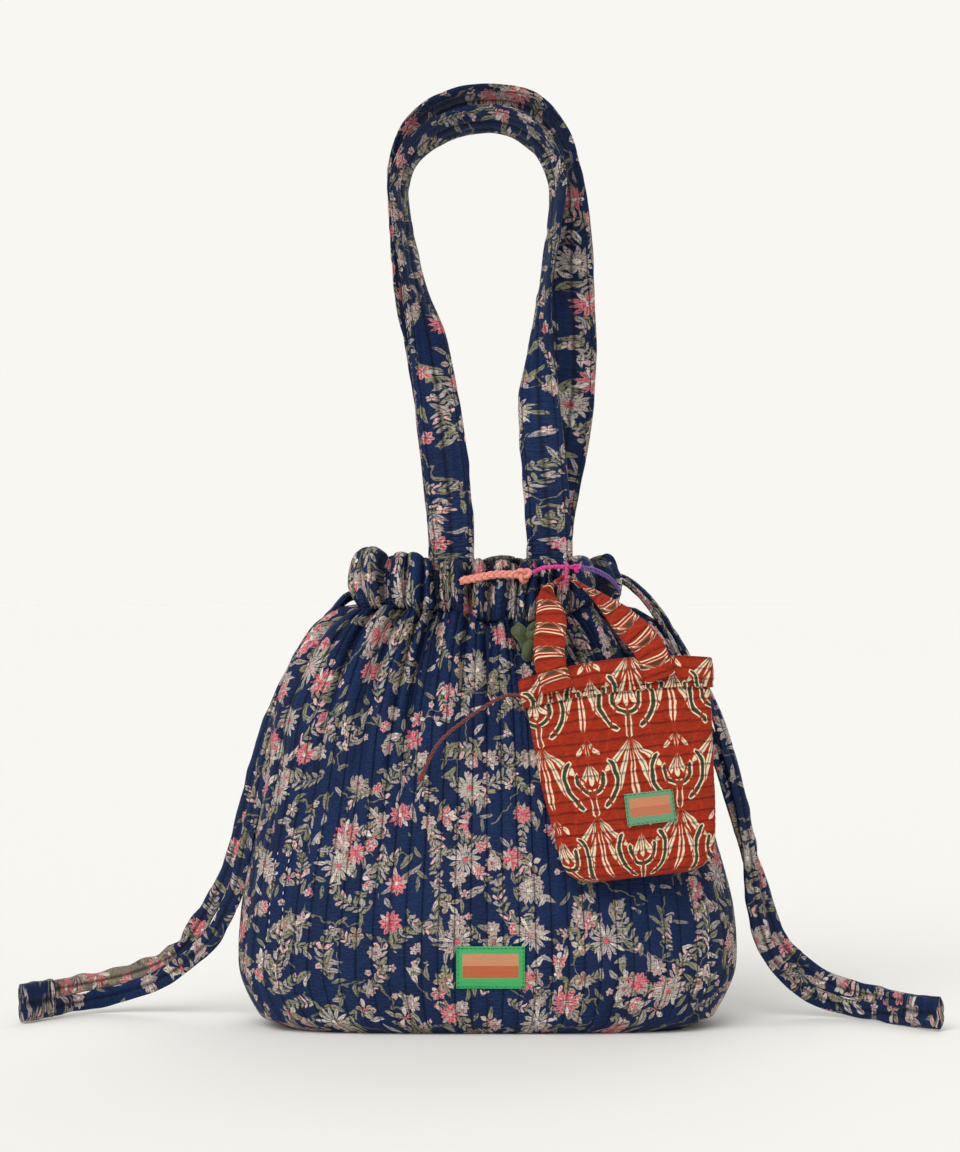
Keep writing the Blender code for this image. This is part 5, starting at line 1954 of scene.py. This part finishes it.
@dataclass
class CharmPouch:
    """The small pouch that hangs from the mouth: its bag, band, strap, label and drawcord.

    Attributes:
        mouth: The middle of its mouth.
        tilt, lean: How far it turns in the picture's plane, and its foot to the front.
        top_half_width, base_half_width, height, half_depth: The bag's size.
        wall, gap: How thick its cloth is, and how far off it the band lies.
        crown: How far the mouth's middle rises above its ends.
        band_height, band_wall: The band's size.
        strap_width, strap_pinch, strap_thickness: The strap's size, and its width where it hangs.
        hang: Where the strap hangs in the loop.
        label_foot: Where the middle of the label's foot is, across and down.
        columns: How many points lie on a ring of it.
    """

    mouth: tuple[float, float, float] = (0.091, -0.0770, 0.2610)
    tilt: float = math.radians(6.5)
    lean: float = math.radians(5.3)
    top_half_width: float = 0.066
    base_half_width: float = 0.057
    height: float = 0.148
    half_depth: float = 0.0100
    wall: float = 0.0020
    crown: float = 0.006
    band_height: float = 0.021
    band_wall: float = 0.0018
    strap_width: float = 0.022
    strap_pinch: float = 0.0082
    strap_thickness: float = 0.0030
    gap: float = 0.0003
    hang: tuple[float, float, float] = (0.0560, -0.0690, 0.3252)
    label_foot: tuple[float, float] = (0.012, 0.1005)
    columns: int = 200

    def place(self, side: Array, drop: Array, out: Array) -> Array:
        """Places on the charm.

        Args:
            side: How far across it, from its middle.
            drop: How far below its mouth.
            out: How far in front of its middle.

        Returns:
            The points.
        """
        side, drop, out = np.broadcast_arrays(side, drop, out)
        side_tilted = side * math.cos(self.tilt) + drop * math.sin(self.tilt)
        drop_tilted = drop * math.cos(self.tilt) - side * math.sin(self.tilt)
        x = self.mouth[0] + side_tilted
        y = self.mouth[1] - drop_tilted * math.sin(self.lean) - out * math.cos(self.lean)
        z = self.mouth[2] - drop_tilted * math.cos(self.lean) + out * math.sin(self.lean)
        return np.stack([x, y, z], -1)

    def label_spot(self, label: StitchedLabel) -> Surface:
        """Finds where the label lies on the charm's curved front.

        Args:
            label: The label.

        Returns:
            The function that places shares across and up the label.
        """
        middle, foot = self.label_foot
        half_width, half_depth = self.half_width_at(0.098), self.half_depth_at(0.098)

        def on_charm(across: Array, up: Array, out: Array) -> Array:
            """Places on the charm's label."""
            x, drop = middle + across * label.width, foot - up * label.height
            bow = (1 - np.abs(x / half_width) ** 2.6) ** (1 / 2.6)
            return self.place(x, drop, half_depth * bow + 0.0007 + out)

        return on_charm

    def places(self) -> Array:
        """Its columns' places round it, from the back's middle, where the cloth's own seam is."""
        return BACK + np.arange(self.columns) / self.columns

    def half_width_at(self, drop: float) -> float:
        """Half its width at a drop below its mouth."""
        top, base = self.top_half_width, self.base_half_width
        return float(
            smooth(
                [0, 0.16, 0.5, 0.8, 0.92, 0.98, 1],
                [top, top * 0.985, (top + base) / 2, base, base * 0.93, base * 0.78, base * 0.60],
                np.array(drop / self.height),
            )
        )

    def half_depth_at(self, drop: float) -> float:
        """Half its depth at a drop below its mouth."""
        shares = self.half_depth * np.array([0.8, 0.95, 1.0, 0.8, 0.5, 0.22])
        return float(smooth([0, 0.3, 0.6, 0.85, 0.96, 1], shares, np.array(drop / self.height)))

    def ring(self, drop: float, push: Array | float) -> Array:
        """A ring round the charm, pushed out. The mouth is crowned."""
        x, y = outline(self.half_width_at(drop), self.half_depth_at(drop), 2.6, self.places(), push)
        crown = self.crown * max(0.0, 1 - drop / (self.height * 0.4))
        return self.place(x, drop - crown * (1 - (x / self.top_half_width) ** 2), -y)

    def relief(self, drop: float) -> Array:
        """How far folds and rows of stitches push its cloth out, at a drop below its mouth."""
        places = self.places()
        share = drop / self.height
        fold, size = puffs(places, 16, 61, 0.5)
        push = 0.0016 * (1 - share) ** 1.5 * (0.4 + size) * (dome(fold, 0.8) - 0.5)
        push += 0.0010 * ripple(places, np.full(self.columns, share), 9, 4, 62)
        row = abs((drop / 0.0055) % 1.0 - 0.5) * 2
        return push - 0.00035 * row**4

    def build_pouch(self, cotton: Material) -> None:
        """Builds and dresses the hollow pouch in its printed cotton."""
        outer = np.linspace(1, self.band_height * 0.9 / self.height, 76) * self.height
        rings = [self.ring(drop, self.relief(drop) * 0.9 - 0.0002) for drop in outer]
        rings.append(self.ring(0.0, 0.0))
        rings.append(self.ring(0.0, -self.band_wall * 0.3))
        rings += [self.ring(share * self.height, -self.wall) for share in (0, 0.25, 0.5, 0.75, 0.88, 0.95)]
        points = np.stack(rings)
        column = points[:, self.columns // 8]
        v = reach_along(column)
        u = np.linspace(0, 1, self.columns + 1) * 0.27 - 0.011
        sew(points, u, v, "charm_bag", cotton, Body.CHARM, Slot.RUST, "charm_pouch")

    def build_band(self, cotton: Material) -> None:
        """Builds and dresses the casing band round its mouth."""
        inner = [self.ring(drop, self.gap) for drop in np.linspace(0.0004, self.band_height, 8)]
        places = self.places()
        fold, size = puffs(places, 24, 63, 0.5)
        left = np.exp(-(((places % 1.0 - LEFT) / 0.05) ** 2))
        outer = []
        # Painted shade: the band's inside is marked fully dark.
        fold_shades = [np.ones(self.columns)] * len(inner)
        for drop in np.linspace(self.band_height, 0.0, 22):
            share = drop / self.band_height
            puffed = self.gap + self.band_wall * (1 + 0.5 * math.sin(math.pi * share) ** 0.6)
            near_seam = math.exp(-(((share - 0.86) / 0.10) ** 2))
            crease = (0.0008 + 0.0010 * near_seam) * (0.5 + size + left) * (dome(fold, 0.7) - 0.5)
            outer.append(self.ring(drop, puffed + crease + 0.0006 * left - 0.0011 * near_seam))
            # Painted shade at the closing seam, in the creases and in the left gathers.
            dark = near_seam * (0.35 + 0.65 * np.clip(1 - dome(fold, 1.0) / 0.6, 0, 1))
            fold_shades.append(np.maximum(dark, left * np.clip(1 - dome(fold, 1.0) / 0.5, 0, 1)))
        points = np.stack([*inner, *outer])
        column = np.vstack([points[:, 0], points[:1, 0]])
        v = reach_along(column)
        u = np.linspace(0, 1, self.columns + 1) * 0.30
        worn = "charm_casing", cotton, Body.CHARM, Slot.RUST, "charm_band"
        sew(points, u, v, *worn, loop_rows=True, fold=np.stack(fold_shades))

    def band_row(self) -> Array:
        """The line of stitches that closes the band, round its front."""
        ring = self.ring(self.band_height * 0.86, self.gap + self.band_wall * 1.05)
        return ring[self.columns // 4 + 2 : 3 * self.columns // 4 - 2]

    def strap_route(self) -> list[tuple[float, ...]]:
        """The strap's route from the left of the band, over its hanging loop and down to the right."""
        seat = self.half_depth * 0.8 + self.band_wall * 1.3 + self.gap * 3 + self.strap_thickness / 2
        wide, narrow = self.strap_width, self.strap_pinch
        left, right = (-0.043, 0.030)
        left_low, left_high = self.place(left, 0.012, seat), self.place(left - 0.003, -0.012, seat)
        right_low, right_high = self.place(right, 0.012, seat), self.place(right - 0.006, -0.010, seat)
        hang_x, hang_y, hang_z = self.hang
        rows = [
            (*left_low, 0, wide), (*left_high, 0, wide),
            (0.0450, left_high[1] + 0.006, 0.2950, 6, wide * 0.98),
            (0.0440, hang_y - 0.006, 0.3130, 40, narrow * 1.9),
            (hang_x - 0.0085, hang_y - 0.001, hang_z - 0.0045, 84, narrow),
            (hang_x, hang_y, hang_z, 90, narrow),
            (hang_x + 0.0095, hang_y - 0.001, hang_z - 0.0050, 96, narrow),
            (0.0790, hang_y - 0.006, 0.3110, 130, narrow * 1.4),
            (0.0970, right_high[1] + 0.004, 0.2940, 165, wide * 0.9), (*right_high, 180, wide),
            (*right_low, 180, wide)
        ]
        return [(*row[:3], math.radians(row[3]), row[4] / wide) for row in rows]

    def build_strap(self, cotton: Material) -> None:
        """Builds and dresses the charm's own strap, gathered narrow where it hangs."""
        rows = along(self.strap_route(), 170)
        strap = QuiltedStrap(self.strap_width, self.strap_thickness, 3, 0.3, 0.0003, 64)
        cloth = strap.grid(rows[:, :4], rows[:, 4]), *strap.cloth(rows)
        sew(*cloth, "charm_handle", cotton, Body.CHARM, Slot.RUST, "charm_strap")

    def build_drawcord(self, cotton: Material) -> None:
        """Builds, dresses and declares the thin drawcord that hangs out of the band."""
        start = self.place(-self.top_half_width - self.band_wall - self.gap * 2, self.band_height * 0.55, 0.0)
        route = [
            tuple(start), (0.0160, -0.0796, 0.2420), (0.0060, -0.0800, 0.2385), (-0.0060, -0.0795, 0.2310),
            (-0.0198, -0.0790, 0.2211), (-0.0290, -0.0790, 0.2135), (-0.0360, -0.0790, 0.2055),
            (-0.0415, -0.0790, 0.1950), (-0.0470, -0.0790, 0.1825)
        ]
        path = along(route, 180)
        reach = float(np.linalg.norm(np.diff(path, axis=0), axis=1).sum())
        share = np.linspace(0, 1, len(path))
        mesh = ClothMesh()
        for ply in range(2):
            swing = winding(path, 2 * math.pi * (share * reach / 0.0085 + ply / 2))
            fray = 1 + 1.6 * np.clip((share - 0.90) / 0.10, 0, 1) ** 1.5
            add_strand(mesh, path + swing * 0.00060, 0.00085 * fray, sides=8)
        rng = np.random.default_rng(65)
        tip, heading = path[-1], path[-1] - path[-12]
        heading /= np.linalg.norm(heading)
        for _ in range(9):
            side = rng.normal(0, 1, 3)
            steps = ((-0.010, 0.0), (-0.003, 0.0007), (0.001, 0.0013))
            fibre = [tip + heading * ahead + side * beside for ahead, beside in steps]
            add_strand(mesh, along(fibre, 8), 0.0003, sides=5)
        piece = mesh.build("charm_string", cotton)
        dress(piece, Body.CHARM, Slot.RUST, "charm_drawcord")


# Silk ties


@dataclass
class SilkTies:
    """The silk cords that tie the charm to the mouth.

    Attributes:
        tie_diameter: The magenta and purple cords' diameter.
        tie_place: Where the charm's loop hangs on the magenta cord.
        loop_place: Where the charm's strap hangs in the loop.
        loop_diameter, loop_half_depth: The loop's cord and half its depth.
        strap_thickness: The charm's strap, which the loop goes round.
    """

    tie_diameter: float = 0.0030
    tie_place: tuple[float, float, float] = (0.0560, -0.0660, 0.3325)
    loop_place: tuple[float, float, float] = (0.0560, -0.0690, 0.3252)
    loop_diameter: float = 0.0020
    loop_half_depth: float = 0.0100
    strap_thickness: float = 0.0030

    def plied(
        self, mesh: ClothMesh, path: Array, diameter: float, plies: int, lay: float, looped: bool = False
    ) -> None:
        """Adds a twisted cord.

        Args:
            mesh: The mesh that it joins.
            path: Its middle line.
            diameter: Its outer diameter.
            plies: How many plies are twisted together.
            lay: The length of one turn of the twist.
            looped: Whether it closes on itself.
        """
        line = np.vstack([path, path[:1]]) if looped else path
        reach = reach_along(line)
        turns = max(1, round(reach[-1] / lay))
        for ply in range(plies):
            turn = 2 * math.pi * (reach[: len(path)] / reach[-1] * turns + ply / plies)
            swing = winding(path, turn, looped)
            add_strand(mesh, path + swing * diameter * 0.24, diameter * 0.29, sides=10, looped=looped)

    def build_braid(self, silk: Material) -> None:
        """Builds and dresses the salmon braid and its end knot."""
        route = [
            (-0.0190, -0.0572, 0.3225), (-0.0080, -0.0573, 0.3245), (0.0060, -0.0575, 0.3270),
            (0.0180, -0.0576, 0.3270), (0.0300, -0.0578, 0.3268)
        ]
        path = along(route, 150)
        share = np.linspace(0, 1, len(path))
        up = np.array([0.0, 0.0, 1.0])
        out = np.array([0.0, -1.0, 0.0])
        mesh = ClothMesh()
        for number in range(3):
            phase = 2 * math.pi * (share * 3.6 + number / 3)
            swing = up * (np.sin(phase) * 0.0015)[:, None] + out * (np.sin(2 * phase) * 0.0008)[:, None]
            add_strand(mesh, path + swing, 0.00155, sides=10)
        end = knot((0.0262, -0.0590, 0.3268), (0.0016, 0.0032), 0.0022, (0.0016, 0.0032), 90)
        add_strand(mesh, end, 0.0016, sides=10, looped=True)
        dress(mesh.build("braided_tie", silk), Body.BAG, Slot.SALMON, "salmon_braid")

    def build_magenta(self, silk: Material) -> None:
        """Builds and dresses the magenta tie cord."""
        route = [(0.0314, -0.0584, 0.3280), (0.0400, -0.0635, 0.3318)]
        route += [self.tie_place, (0.0655, -0.0655, 0.3318)]
        mesh = ClothMesh()
        self.plied(mesh, along(route, 100), self.tie_diameter, 3, 0.009)
        end = knot((0.0636, -0.0668, 0.3318), (0.0010, 0.0016), 0.0012, (0.0010, 0.0018), 80)
        add_strand(mesh, end, 0.0010, sides=8, looped=True)
        dress(mesh.build("magenta_tie", silk), Body.BAG, Slot.MAGENTA, "magenta_tie_cord")

    def build_purple(self, silk: Material) -> None:
        """Builds and dresses the purple tie cord, two strands side by side."""
        route = [
            (0.0668, -0.0640, 0.3316), (0.0730, -0.0570, 0.3312), (0.0810, -0.0495, 0.3285),
            (0.0890, -0.0405, 0.3235), (0.0965, -0.0250, 0.3140)
        ]
        path = along(route, 110)
        mesh = ClothMesh()
        self.plied(mesh, path + np.array([0.0, -0.0004, 0.0008]), self.tie_diameter * 0.66, 2, 0.006)
        self.plied(mesh, path + np.array([0.0, 0.0004, -0.0012]), self.tie_diameter * 0.66, 2, 0.006)
        dress(mesh.build("purple_tie", silk), Body.BAG, Slot.PURPLE, "purple_tie_cord")

    def build_olive(self, silk: Material) -> None:
        """Builds and dresses the crumpled olive ribbon knot."""
        centre = np.array([0.0285, -0.0622, 0.2810])
        mesh = ClothMesh()
        loop = knot(centre, (0.0058, 0.0034), 0.0028, (0.0072, 0.0048), 140)
        rng = np.random.default_rng(71)
        wobble = 1 + 0.18 * ripple(np.arange(140) / 140, np.zeros(140), 17, 1, 72)
        add_strand(mesh, loop, 0.0038 * wobble, sides=14, looped=True)
        for way in (-1, 1):
            end = [
                centre + (0.001 * way, 0.0, 0.004), centre + (0.004 * way, -0.001, 0.009 + 0.001 * way),
                centre + (0.007 * way + float(rng.uniform(-0.001, 0.001)), 0.0, 0.0115)
            ]
            add_strand(mesh, along(end, 24), np.linspace(0.0030, 0.0016, 24), sides=12)
        dress(mesh.build("olive_ribbon", silk), Body.BAG, Slot.OLIVE, "olive_ribbon_knot")

    def build_loop(self, silk: Material) -> None:
        """Builds and dresses the small ring of cord that the charm hangs in."""
        top = self.tie_place[2] + self.tie_diameter / 2 + 0.0003
        bottom = self.loop_place[2] - self.strap_thickness / 2 - 0.0009
        half_z = (top - bottom + self.loop_diameter) / 2
        x, y = outline(self.loop_half_depth, half_z, 4.0, np.arange(96) / 96)
        middle = (self.tie_place[1] + self.loop_place[1]) / 2
        path = np.column_stack([np.full(96, self.loop_place[0]), middle + x, (top + bottom) / 2 + y])
        mesh = ClothMesh()
        self.plied(mesh, path, self.loop_diameter, 2, 0.005, looped=True)
        dress(mesh.build("hanging_loop", silk), Body.LOOP, Slot.MAGENTA, "charm_hanging_loop")


# Floor, light and camera


@dataclass
class Studio:
    """A plain pale floor, soft daylight and the camera at the photograph's angle.

    Attributes:
        paper: The backdrop's colour.
        distance: How far in front of the bag the camera stands.
        height: How high it stands.
        sensor, lens, shift: Its sensor's width, its focal length and its shift.
        room_light: How strong the even light of the room is.
        lamp_spread: How large the sky in each window looks, in degrees.
        room_radius: How far off the backdrop hangs.
        lamps: Each window's name, strength, height and direction in degrees.
    """

    paper: str = "#F8F7F2"
    distance: float = 2.4
    height: float = 0.335
    sensor: float = 36.0
    lens: float = 102.75
    shift: tuple[float, float] = (-0.0061, -0.0110)
    room_light: float = 0.62
    lamp_spread: float = 50.0
    room_radius: float = 24.0
    lamps: Sequence[tuple[str, float, float, float]] = (
        ("window", 2.2, 46.0, -28.0), ("far_window", 0.7, -52.0, 18.0)
    )

    def build_floor(self) -> None:
        """Lays a wide pale floor."""
        material = new_material("studio_paper")
        tree = material.node_tree
        shader = add_node(
            tree, "ShaderNodeBsdfPrincipled", {"Base Color": self.floor_colour(), "Roughness": 1.0}
        )
        shader.inputs["Specular IOR Level"].default_value = 0.0
        add_node(tree, "ShaderNodeOutputMaterial", {0: shader.outputs[0]})
        mesh = bpy.data.meshes.new("floor")
        reach = 30.0
        corners = [(-reach, -reach), (reach, -reach), (reach, reach), (-reach, reach)]
        mesh.from_pydata([(x, y, -0.0006) for x, y in corners], [], [(0, 1, 2, 3)])
        mesh.materials.append(material)
        floor = bpy.data.objects.new("floor", mesh)
        bpy.context.scene.collection.objects.link(floor)
        floor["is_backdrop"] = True

    def build_light(self) -> None:
        """Lights the scene with a bright room and one soft lamp from the upper left."""
        scene = bpy.context.scene
        scene.view_settings.view_transform = "Standard"
        world = bpy.data.worlds.new("room")
        scene.world = world
        world.use_nodes = True
        world.node_tree.nodes.clear()
        sky = add_node(world.node_tree, "ShaderNodeBackground", {0: linear(self.paper), 1: self.room_light})
        add_node(world.node_tree, "ShaderNodeOutputWorld", {0: sky.outputs[0]})
        for name, energy, tilt, turn in self.lamps:
            lamp = bpy.data.lights.new(name, "SUN")
            lamp.energy = energy
            lamp.angle = math.radians(self.lamp_spread)
            holder = bpy.data.objects.new(name, lamp)
            holder.rotation_euler = (math.radians(tilt), math.radians(turn), 0.0)
            scene.collection.objects.link(holder)

    def floor_colour(self) -> tuple[float, float, float, float]:
        """The floor's colour, which under these lamps looks the same as the paper behind it."""
        level = sum(
            energy * math.cos(math.radians(tilt)) * math.cos(math.radians(turn)) / math.pi
            for _, energy, tilt, turn in self.lamps
        )
        red, green, blue, _ = linear(self.paper)
        parts = [part / (part * self.room_light + level) for part in (red, green, blue)]
        return parts[0], parts[1], parts[2], 1.0

    def build_backdrop(self) -> None:
        """Hangs plain paper far behind, seen by the camera only, so that it sheds no light."""
        material = new_material("backdrop_paper")
        tree = material.node_tree
        glow = add_node(tree, "ShaderNodeEmission", {0: linear(self.paper), 1: 1.0})
        add_node(tree, "ShaderNodeOutputMaterial", {0: glow.outputs[0]})
        turns = np.linspace(0, 2 * math.pi, 48, endpoint=False)
        ring = np.column_stack([np.cos(turns), np.sin(turns)]) * self.room_radius
        grid = [np.column_stack([ring, np.full(48, z)]) for z in (-self.room_radius, self.room_radius)]
        mesh = ClothMesh()
        mesh.add_grid(np.stack(grid), np.linspace(0, 1, 49), np.array([0.0, 1.0]))
        backdrop = mesh.build("backdrop", material)
        for ray in ("visible_diffuse", "visible_glossy", "visible_transmission", "visible_shadow"):
            setattr(backdrop, ray, False)
        backdrop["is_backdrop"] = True

    def build_camera(self) -> None:
        """Sets up the camera."""
        data = bpy.data.cameras.new("camera")
        data.sensor_width = self.sensor
        data.lens = self.lens
        data.shift_x, data.shift_y = self.shift
        data.clip_end = 100.0
        camera = bpy.data.objects.new("camera", data)
        camera.location = (0.0, -self.distance, self.height)
        camera.rotation_euler = (math.pi / 2, 0.0, 0.0)
        bpy.context.scene.collection.objects.link(camera)
        bpy.context.scene.camera = camera


def build_tails(casing: GatheredCasing, satin: Material, pale: Material) -> None:
    """Builds the drawstrings' runs and their tails.

    Args:
        casing: The casing that they run in.
        satin: The navy satin.
        pale: The pale side of the print.
    """
    low = casing.body.ledge_z + 0.0003
    high = casing.body.mouth_z - 0.0030 * 1.7 - 0.0003
    middle = (low + high) / 2
    DrawstringTail(
        "left_tail", "drawstring_left_tail", LEFT_TAIL, side=-1, exit_z=(low + middle) / 2 + 0.0009,
        spread=[
            (0, 0.0035, 0.0012), (0.1, 0.0060, 0.0012), (0.45, 0.0058, 0.0012), (0.62, 0.0070, 0.0),
            (0.68, 0.0048, 0.0024), (0.78, 0.0060, 0.0010), (1, 0.0068, 0.0),
        ],
        seed=81, pale=[(0, 0.70, 1.0)], rests=0.0045,
    ).build(satin, pale)
    DrawstringTail(
        "right_tail", "drawstring_right_tail", RIGHT_TAIL, side=1, exit_z=(middle + high) / 2,
        spread=[
            (0, 0.0035, 0.0012), (0.2, 0.0055, 0.0026), (0.45, 0.0, 0.0028), (0.6, -0.0058, 0.0026),
            (0.75, -0.0064, 0.0), (0.9, -0.0058, 0.0), (1, -0.0044, 0.0),
        ],
        seed=91, pale=[(1, 0.42, 0.54)], tip_width=0.0215,
    ).build(satin, pale)
    DrawstringRun(casing, LEFT, low, middle - 0.00015).build("left_string_run", "drawstring_left", satin)
    DrawstringRun(casing, RIGHT, middle + 0.00015, high).build("right_string_run", "drawstring_right", satin)


def main() -> None:
    """Builds the studio, then every piece of the bag and its charm."""
    logging.basicConfig(level=logging.INFO, format="%(message)s")
    studio = Studio()
    studio.build_camera()
    studio.build_floor()
    studio.build_backdrop()
    studio.build_light()

    satin = QuiltedFloralSatin().material()
    pale = QuiltedFloralSatin(
        "pale_floral_satin", ground="#93887E", ground_deep="#5F574F", mauve="#4A4650", crowded=0.80
    ).material()
    body_satin = QuiltedFloralSatin("quilted_floral_satin_wide", pitch=BODY_PITCH * 1000).material()
    lining = PlainCotton("navy_cotton_lining", "#16254B", "#0E1836").material()
    rust = BlockPrintedCotton().material()
    banded = BlockPrintedCotton("banded_rust_cotton", bands=True).material()
    magenta = SilkCord("magenta_silk_cord", "#D62C8C", "#8E1560").material()

    body = QuiltedBody()
    casing = GatheredCasing(body)
    build_tails(casing, satin, pale)
    body.build(body_satin, lining)
    casing.build(body_satin)
    CarryHandles().build(satin)

    label = StitchedLabel("front_label_tape", "front_label", Body.BAG, 0.0485, 0.0300)
    on_front = body.label_spot(label)
    label.build(on_front, WovenLabelTape().material())

    charm = CharmPouch()
    charm.build_pouch(rust)
    charm.build_band(rust)
    charm.build_strap(banded)
    charm.build_drawcord(SilkCord("rust_cotton_cord", "#7A2415", "#220B07").material())

    small_label = StitchedLabel("charm_label_tape", "charm_label", Body.CHARM, 0.0345, 0.0225)
    on_charm = charm.label_spot(small_label)
    tape = WovenLabelTape("woven_charm_label_tape", (34.5, 22.5), "#5E9870", "#CC7C56", "#C06A48")
    small_label.build(on_charm, tape.material())

    white = PlainCotton("white_cotton_thread", "#E4E0D6", "#B9B4AA").material()
    green = PlainCotton("green_polyester_thread", "#1E6B3C", "#124A28").material()
    dark = PlainCotton("dark_red_cotton_thread", "#2E0F0B", "#180705").material()
    RunningStitches("side_running_stitches", 0.0058, 0.0030, 0.00042).build(
        body.stitch_rows(), white, Body.BAG, Slot.NAVY_QUILT
    )
    RunningStitches("front_label_stitches", 0.0030, 0.0021, 0.00026).build(
        label.edge_rows(on_front), green, Body.BAG, Slot.LABEL
    )
    RunningStitches("charm_label_stitches", 0.0030, 0.0021, 0.00024).build(
        small_label.edge_rows(on_charm), green, Body.CHARM, Slot.LABEL
    )
    RunningStitches("charm_band_stitches", 0.0060, 0.0036, 0.00042).build(
        [charm.band_row()], dark, Body.CHARM, Slot.RUST
    )

    ties = SilkTies()
    ties.build_braid(SilkCord("salmon_silk_braid", "#E78F7E", "#A85648").material())
    ties.build_magenta(magenta)
    ties.build_purple(SilkCord("purple_silk_cord", "#7A4FA8", "#4A2C74").material())
    ties.build_olive(SilkCord("olive_silk_ribbon", "#414F22", "#1C250D").material())
    ties.build_loop(magenta)

    boxes = {"cad": cad_box, "visual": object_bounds()}
    lines = {key: [list(corner) for corner in box] for key, box in boxes.items()}


if __name__ == "__main__":
    main()
